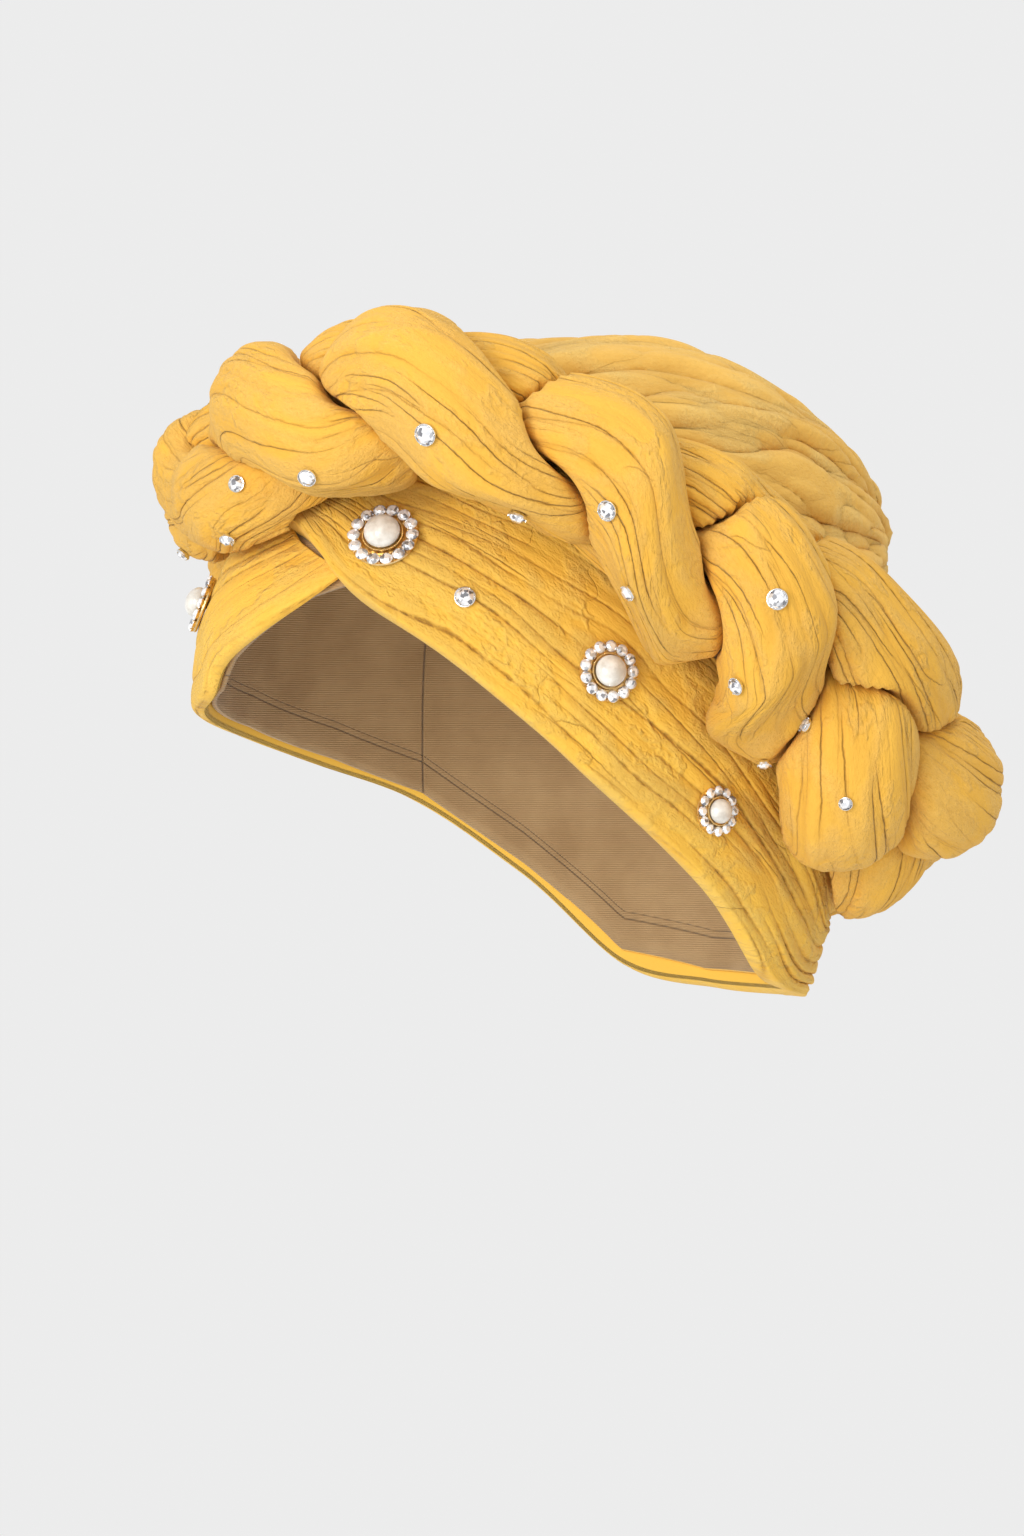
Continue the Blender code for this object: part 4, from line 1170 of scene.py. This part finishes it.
class Look:
    """Material that is being made, with short ways to add its nodes and join them."""

    def __init__(self, name):
        material = bpy.data.materials.new(name)
        material.use_nodes = True
        self.tree = material.node_tree
        self.shader = self.tree.nodes["Principled BSDF"]
        MATERIALS[name] = material

    def feed(self, socket, value):
        """Give a socket its value: another socket, a number, a vector or a colour."""
        if isinstance(value, bpy.types.NodeSocket):
            self.tree.links.new(value, socket)
        elif socket.type == "RGBA":
            socket.default_value = value + (1,)
        else:
            socket.default_value = value

    def finish(self, **inputs):
        """Feed inputs of the shader."""
        for key, value in inputs.items():
            self.feed(self.shader.inputs[key.replace("_", " ")], value)

    def node(self, kind, inputs, **settings):
        """Node of a kind with its settings and its inputs."""
        node = self.tree.nodes.new("ShaderNode" + kind)
        for key, value in settings.items():
            setattr(node, key, value)
        for key, value in inputs.items():
            self.feed(node.inputs[key], value)
        return node

    def mark(self, name, output="Vector"):
        """Marks of a name that the cloth's mesh holds."""
        return self.node("Attribute", {}, attribute_name=name).outputs[output]

    def place(self):
        """Place on the piece, in metres."""
        return self.node("TexCoord", {}).outputs["Object"]

    def vector(self, operation, first, second=(0.0, 0.0, 0.0)):
        """Vector sum, product or other step."""
        node = self.node("VectorMath", {0: first, 1: second}, operation=operation)
        return node.outputs["Value" if operation == "DOT_PRODUCT" else "Vector"]

    def value(self, operation, *inputs):
        """Sum, product or other step of numbers."""
        return self.node("Math", dict(enumerate(inputs)), operation=operation).outputs["Value"]

    def noise(self, place, scale, detail=3.0, rough=0.55):
        """Noise over a place that is multiplied by a scale for each axis."""
        scaled = self.vector("MULTIPLY", place, scale)
        inputs = {"Vector": scaled, "Scale": 1.0, "Detail": detail, "Roughness": rough}
        return self.node("TexNoise", inputs).outputs["Fac"]

    def span(self, source, before, after):
        """Number taken from one span to another and held at its ends."""
        inputs = {"Value": source, "From Min": before[0], "From Max": before[1],
                  "To Min": after[0], "To Max": after[1]}
        return self.node("MapRange", inputs, clamp=True).outputs["Result"]

    def ramp(self, source, *stops):
        """Colour on a ramp of stops, each a place and a colour."""
        node = self.node("ValToRGB", {"Fac": source})
        elements = node.color_ramp.elements
        for element, (place, colour) in zip(elements, (stops[0], stops[-1])):
            element.position = place
            element.color = colour + (1,)
        for place, colour in stops[1:-1]:
            elements.new(place).color = colour + (1,)
        return node.outputs["Color"]

    def blend(self, factor, first, second):
        """Colour that goes from a first one to a second one by a factor."""
        inputs = {"Factor": factor, COLOUR_FIRST: first, COLOUR_SECOND: second}
        return self.node("Mix", inputs, data_type="RGBA").outputs[COLOUR_RESULT]

    def bump(self, heights, depths):
        """Relief on the surface from named heights, each times its depth in millimetres."""
        total = 0.0
        for key, depth in depths.items():
            total = self.value("MULTIPLY_ADD", heights[key], depth, total)
        node = self.node("Bump", {"Strength": 1.0, "Distance": MM, "Height": total})
        self.finish(Normal=node.outputs["Normal"])

    def thin_lines(self, wobble=None):
        """How near a place lies to the middle of a crease or seam, from 0 to 1."""
        apart = self.mark("creases")
        if wobble:
            apart = self.vector("ADD", apart, wobble)
        apart = self.vector("DIVIDE", self.vector("ABSOLUTE", apart), CREASE_WIDTHS)
        apart = self.vector("MINIMUM", apart, (1.0, 1.0, 1.0))
        near = self.vector("SUBTRACT", (1.0, 1.0, 1.0), apart)
        near = self.vector("MULTIPLY", near, near)
        line = self.vector("DOT_PRODUCT", near, self.mark("strengths"))
        return self.value("MINIMUM", line, 1.0)


def cloth_material(name, lit, slack, hollow_shade_colour, seam_colour_and_crease_shade, net_share):
    """Crinkled crepe: smooth puffs between thin creases in painted shade, with patches of fine
    crinkle and painted glints.
    """
    look = Look(name)
    flow = look.mark("flow")
    grain = {key: look.noise(flow, *row) for key, row in CLOTH_NOISES.items()}
    wobble = look.value("MULTIPLY_ADD", grain["wobble"], LINE_WOBBLE, -LINE_WOBBLE / 2)
    line = look.thin_lines(wobble)

    patch = look.span(grain["patch"], PATCH_SPAN, (0.0, 1.0))
    net_place = look.vector("ADD", look.vector("MULTIPLY", flow, NET_SCALE), grain["warp"])
    net = look.node("TexVoronoi", {"Vector": net_place, "Scale": 1.0}, feature="DISTANCE_TO_EDGE")
    ridge = look.span(net.outputs["Distance"], (0.0, NET_WIDTH), (1.0, 0.0))
    ridge = look.value("MULTIPLY", ridge, net_share)
    sparkle = look.value("MULTIPLY", grain["crepe"], look.value("MAXIMUM", patch, ridge))
    sparkle = look.value("MULTIPLY", sparkle, SPARKLE)

    shade = look.value("MULTIPLY", grain["streak"], STREAK_SHARE)
    shade = look.value("MULTIPLY_ADD", grain["crepe"], 1 - STREAK_SHARE, shade)
    colour = look.ramp(shade, (SLACK_PLACE, slack), (LIT_PLACE, lit))
    # Painted shade in the crease valleys and at the crown's gathered pole
    shaded = look.value("MULTIPLY", look.mark("hollow_shade", "Fac"), HOLLOW_SHADE)
    colour = look.blend(shaded, colour, hollow_shade_colour)
    # Painted glints: a pale colour on the crepe patches and raised net, also giving the crepe its
    # pale speckle
    pale = tuple(min(1.0, GLINT_GAIN * value + GLINT_LIFT) for value in lit)
    colour = look.blend(sparkle, colour, pale)
    # Painted shade: thin dark lines along the middles of the creases
    colour = look.blend(look.value("MULTIPLY", line, LINE_SHADE), colour, seam_colour_and_crease_shade)
    look.finish(Base_Color=colour, Roughness=look.span(grain["crinkle"], (0.0, 1.0), (0.60, 0.85)),
                Sheen_Weight=0.15, Sheen_Roughness=0.4, Sheen_Tint=(1.0, 0.85, 0.5),
                Specular_IOR_Level=0.3)
    look.bump(dict(grain, sparkle=sparkle, ridge=ridge, line=line), CLOTH_RELIEF)


def lining_material(light, dark, seam_colour_and_crease_shade):
    """Plain tan stretch lining with a fine knit."""
    look = Look("lining")
    flow = look.mark("flow")
    knit = look.node("TexWave", {"Vector": flow, "Scale": KNIT_SCALE, "Distortion": 0.6},
                     bands_direction="Z").outputs["Fac"]
    colour = look.ramp(look.noise(flow, (0.06, 0.06, 0.06)), (0.3, dark), (0.7, light))
    line = look.thin_lines()
    colour = look.blend(look.value("MULTIPLY", line, SEAM_SHADE), colour, seam_colour_and_crease_shade)
    look.finish(Base_Color=colour, Roughness=0.85, Sheen_Weight=0.2)
    look.bump({"knit": knit, "line": line}, LINING_RELIEF)


def metal_material(name, colour, rough):
    """Polished metal with faint wear."""
    look = Look(name)
    wear = look.noise(look.place(), (900, 900, 900))
    dull = tuple(0.75 * value for value in colour)
    look.finish(Base_Color=look.ramp(wear, (0.35, dull), (0.6, colour)), Metallic=1.0,
                Roughness=look.span(wear, (0.0, 1.0), (rough, rough + 0.15)))


def stone_material(dark, grey, bright):
    """Foil-backed cut stone: bright foil, painted grey and dark reflections, and a clear gloss."""
    look = Look("stone")
    cells = look.node("TexVoronoi", {"Vector": look.place(), "Scale": 900.0})
    split = look.node("SeparateColor", {"Color": cells.outputs["Color"]})
    # Painted reflections: dark, grey and bright cells over the bright foil
    painted_reflection = look.ramp(split.outputs["Red"], (0.10, dark), (0.3, grey), (0.55, bright))
    look.finish(Base_Color=painted_reflection, Metallic=0.4, Roughness=0.1, Coat_Weight=1.0, Coat_Roughness=0.02)


def pearl_material(shaded, bright):
    """Ivory pearl with a soft lustre."""
    look = Look("pearl")
    cloud = look.noise(look.place(), (260, 260, 260))
    look.finish(Base_Color=look.ramp(cloud, (0.35, shaded), (0.65, bright)), Roughness=0.28,
                Coat_Weight=0.6, Coat_Roughness=0.12, Sheen_Weight=0.2)


def build_materials():
    """Materials of every piece, each under its name."""
    for name, row in CLOTH_COLOURS.items():
        cloth_material(name, *row)
    lining_material((0.47, 0.30, 0.14), (0.38, 0.23, 0.10), (0.16, 0.085, 0.03))
    metal_material("gold", (0.93, 0.68, 0.32), 0.22)
    metal_material("silver", (0.90, 0.89, 0.87), 0.16)
    # Stone colours: painted dark and grey reflections, and the bright foil
    stone_material((0.22, 0.22, 0.24), (0.70, 0.71, 0.73), (0.97, 0.98, 1.0))
    pearl_material((0.60, 0.56, 0.49), (0.86, 0.84, 0.78))


def aimed_object(name, data, place, away):
    """Object at a place whose back is turned to a direction."""
    thing = new_object(name, data)
    thing.location = place
    thing.rotation_mode = "QUATERNION"
    thing.rotation_quaternion = away.to_track_quat("Z", "Y")
    return thing


def build_stage():
    """Pale floor far below, soft lights and a near-white surround."""
    scene = bpy.context.scene
    floor = bpy.data.meshes.new("floor")
    corners = ((-1, -1), (1, -1), (1, 1), (-1, 1))
    floor.from_pydata([(x * FLOOR_HALF, y * FLOOR_HALF, FLOOR_HEIGHT) for x, y in corners], [],
                      [(0, 1, 2, 3)])
    Look("pale").finish(Base_Color=(0.9, 0.9, 0.9))
    floor.materials.append(MATERIALS["pale"])
    new_object("floor", floor)
    world = bpy.data.worlds.new("surround")
    world.use_nodes = True
    surround = world.node_tree.nodes["Background"]
    surround.inputs["Color"].default_value = (1, 1, 1, 1)
    surround.inputs["Strength"].default_value = SURROUND_LIGHT
    scene.world = world
    scene.view_settings.view_transform = "Standard"
    for name, turn, climb, size, power in LAMP_ROWS:
        lamp = bpy.data.lights.new(name, "AREA")
        lamp.shape = "DISK"
        lamp.size = size
        lamp.energy = power
        away = view_direction(turn) * cosine(climb)
        away.z = sine(climb)
        aimed_object(name, lamp, away * LAMP_DISTANCE, away)


def build_camera():
    """Camera at the picture's viewing angle."""
    camera = bpy.data.cameras.new("camera")
    camera.sensor_width = CAMERA_SENSOR
    camera.lens = PICTURE_FOCUS / PICTURE_HEIGHT * CAMERA_SENSOR
    back = view_direction(VIEW_TURN)
    place = (back * VIEW_DISTANCE + Vector((0, 0, VIEW_HEIGHT))) * MM
    bpy.context.scene.camera = aimed_object("camera", camera, place, back)


def main():
    """Build the turban, its jewels and its surroundings."""
    build_materials()
    build_camera()
    build_cap()
    cloth = [build_band(*row) for row in BANDS]
    cloth.append(build_crown())
    envelope = wrap_envelope()
    cuts = wreath_cuts(envelope)
    cloth += [build_strand(strand, cuts, envelope) for strand in range(STRANDS)]
    trees = [cloth_tree(thing) for thing in cloth]
    for build, columns, rows in ((build_stud, STUD_COLUMNS, STUD_ROWS),
                                 (build_brooch, BROOCH_COLUMNS, BROOCH_ROWS)):
        for number, row in enumerate(rows, 1):
            jewel = dict(zip(columns, row))
            build(number, jewel, seat(trees, jewel))
    build_stage()


main()
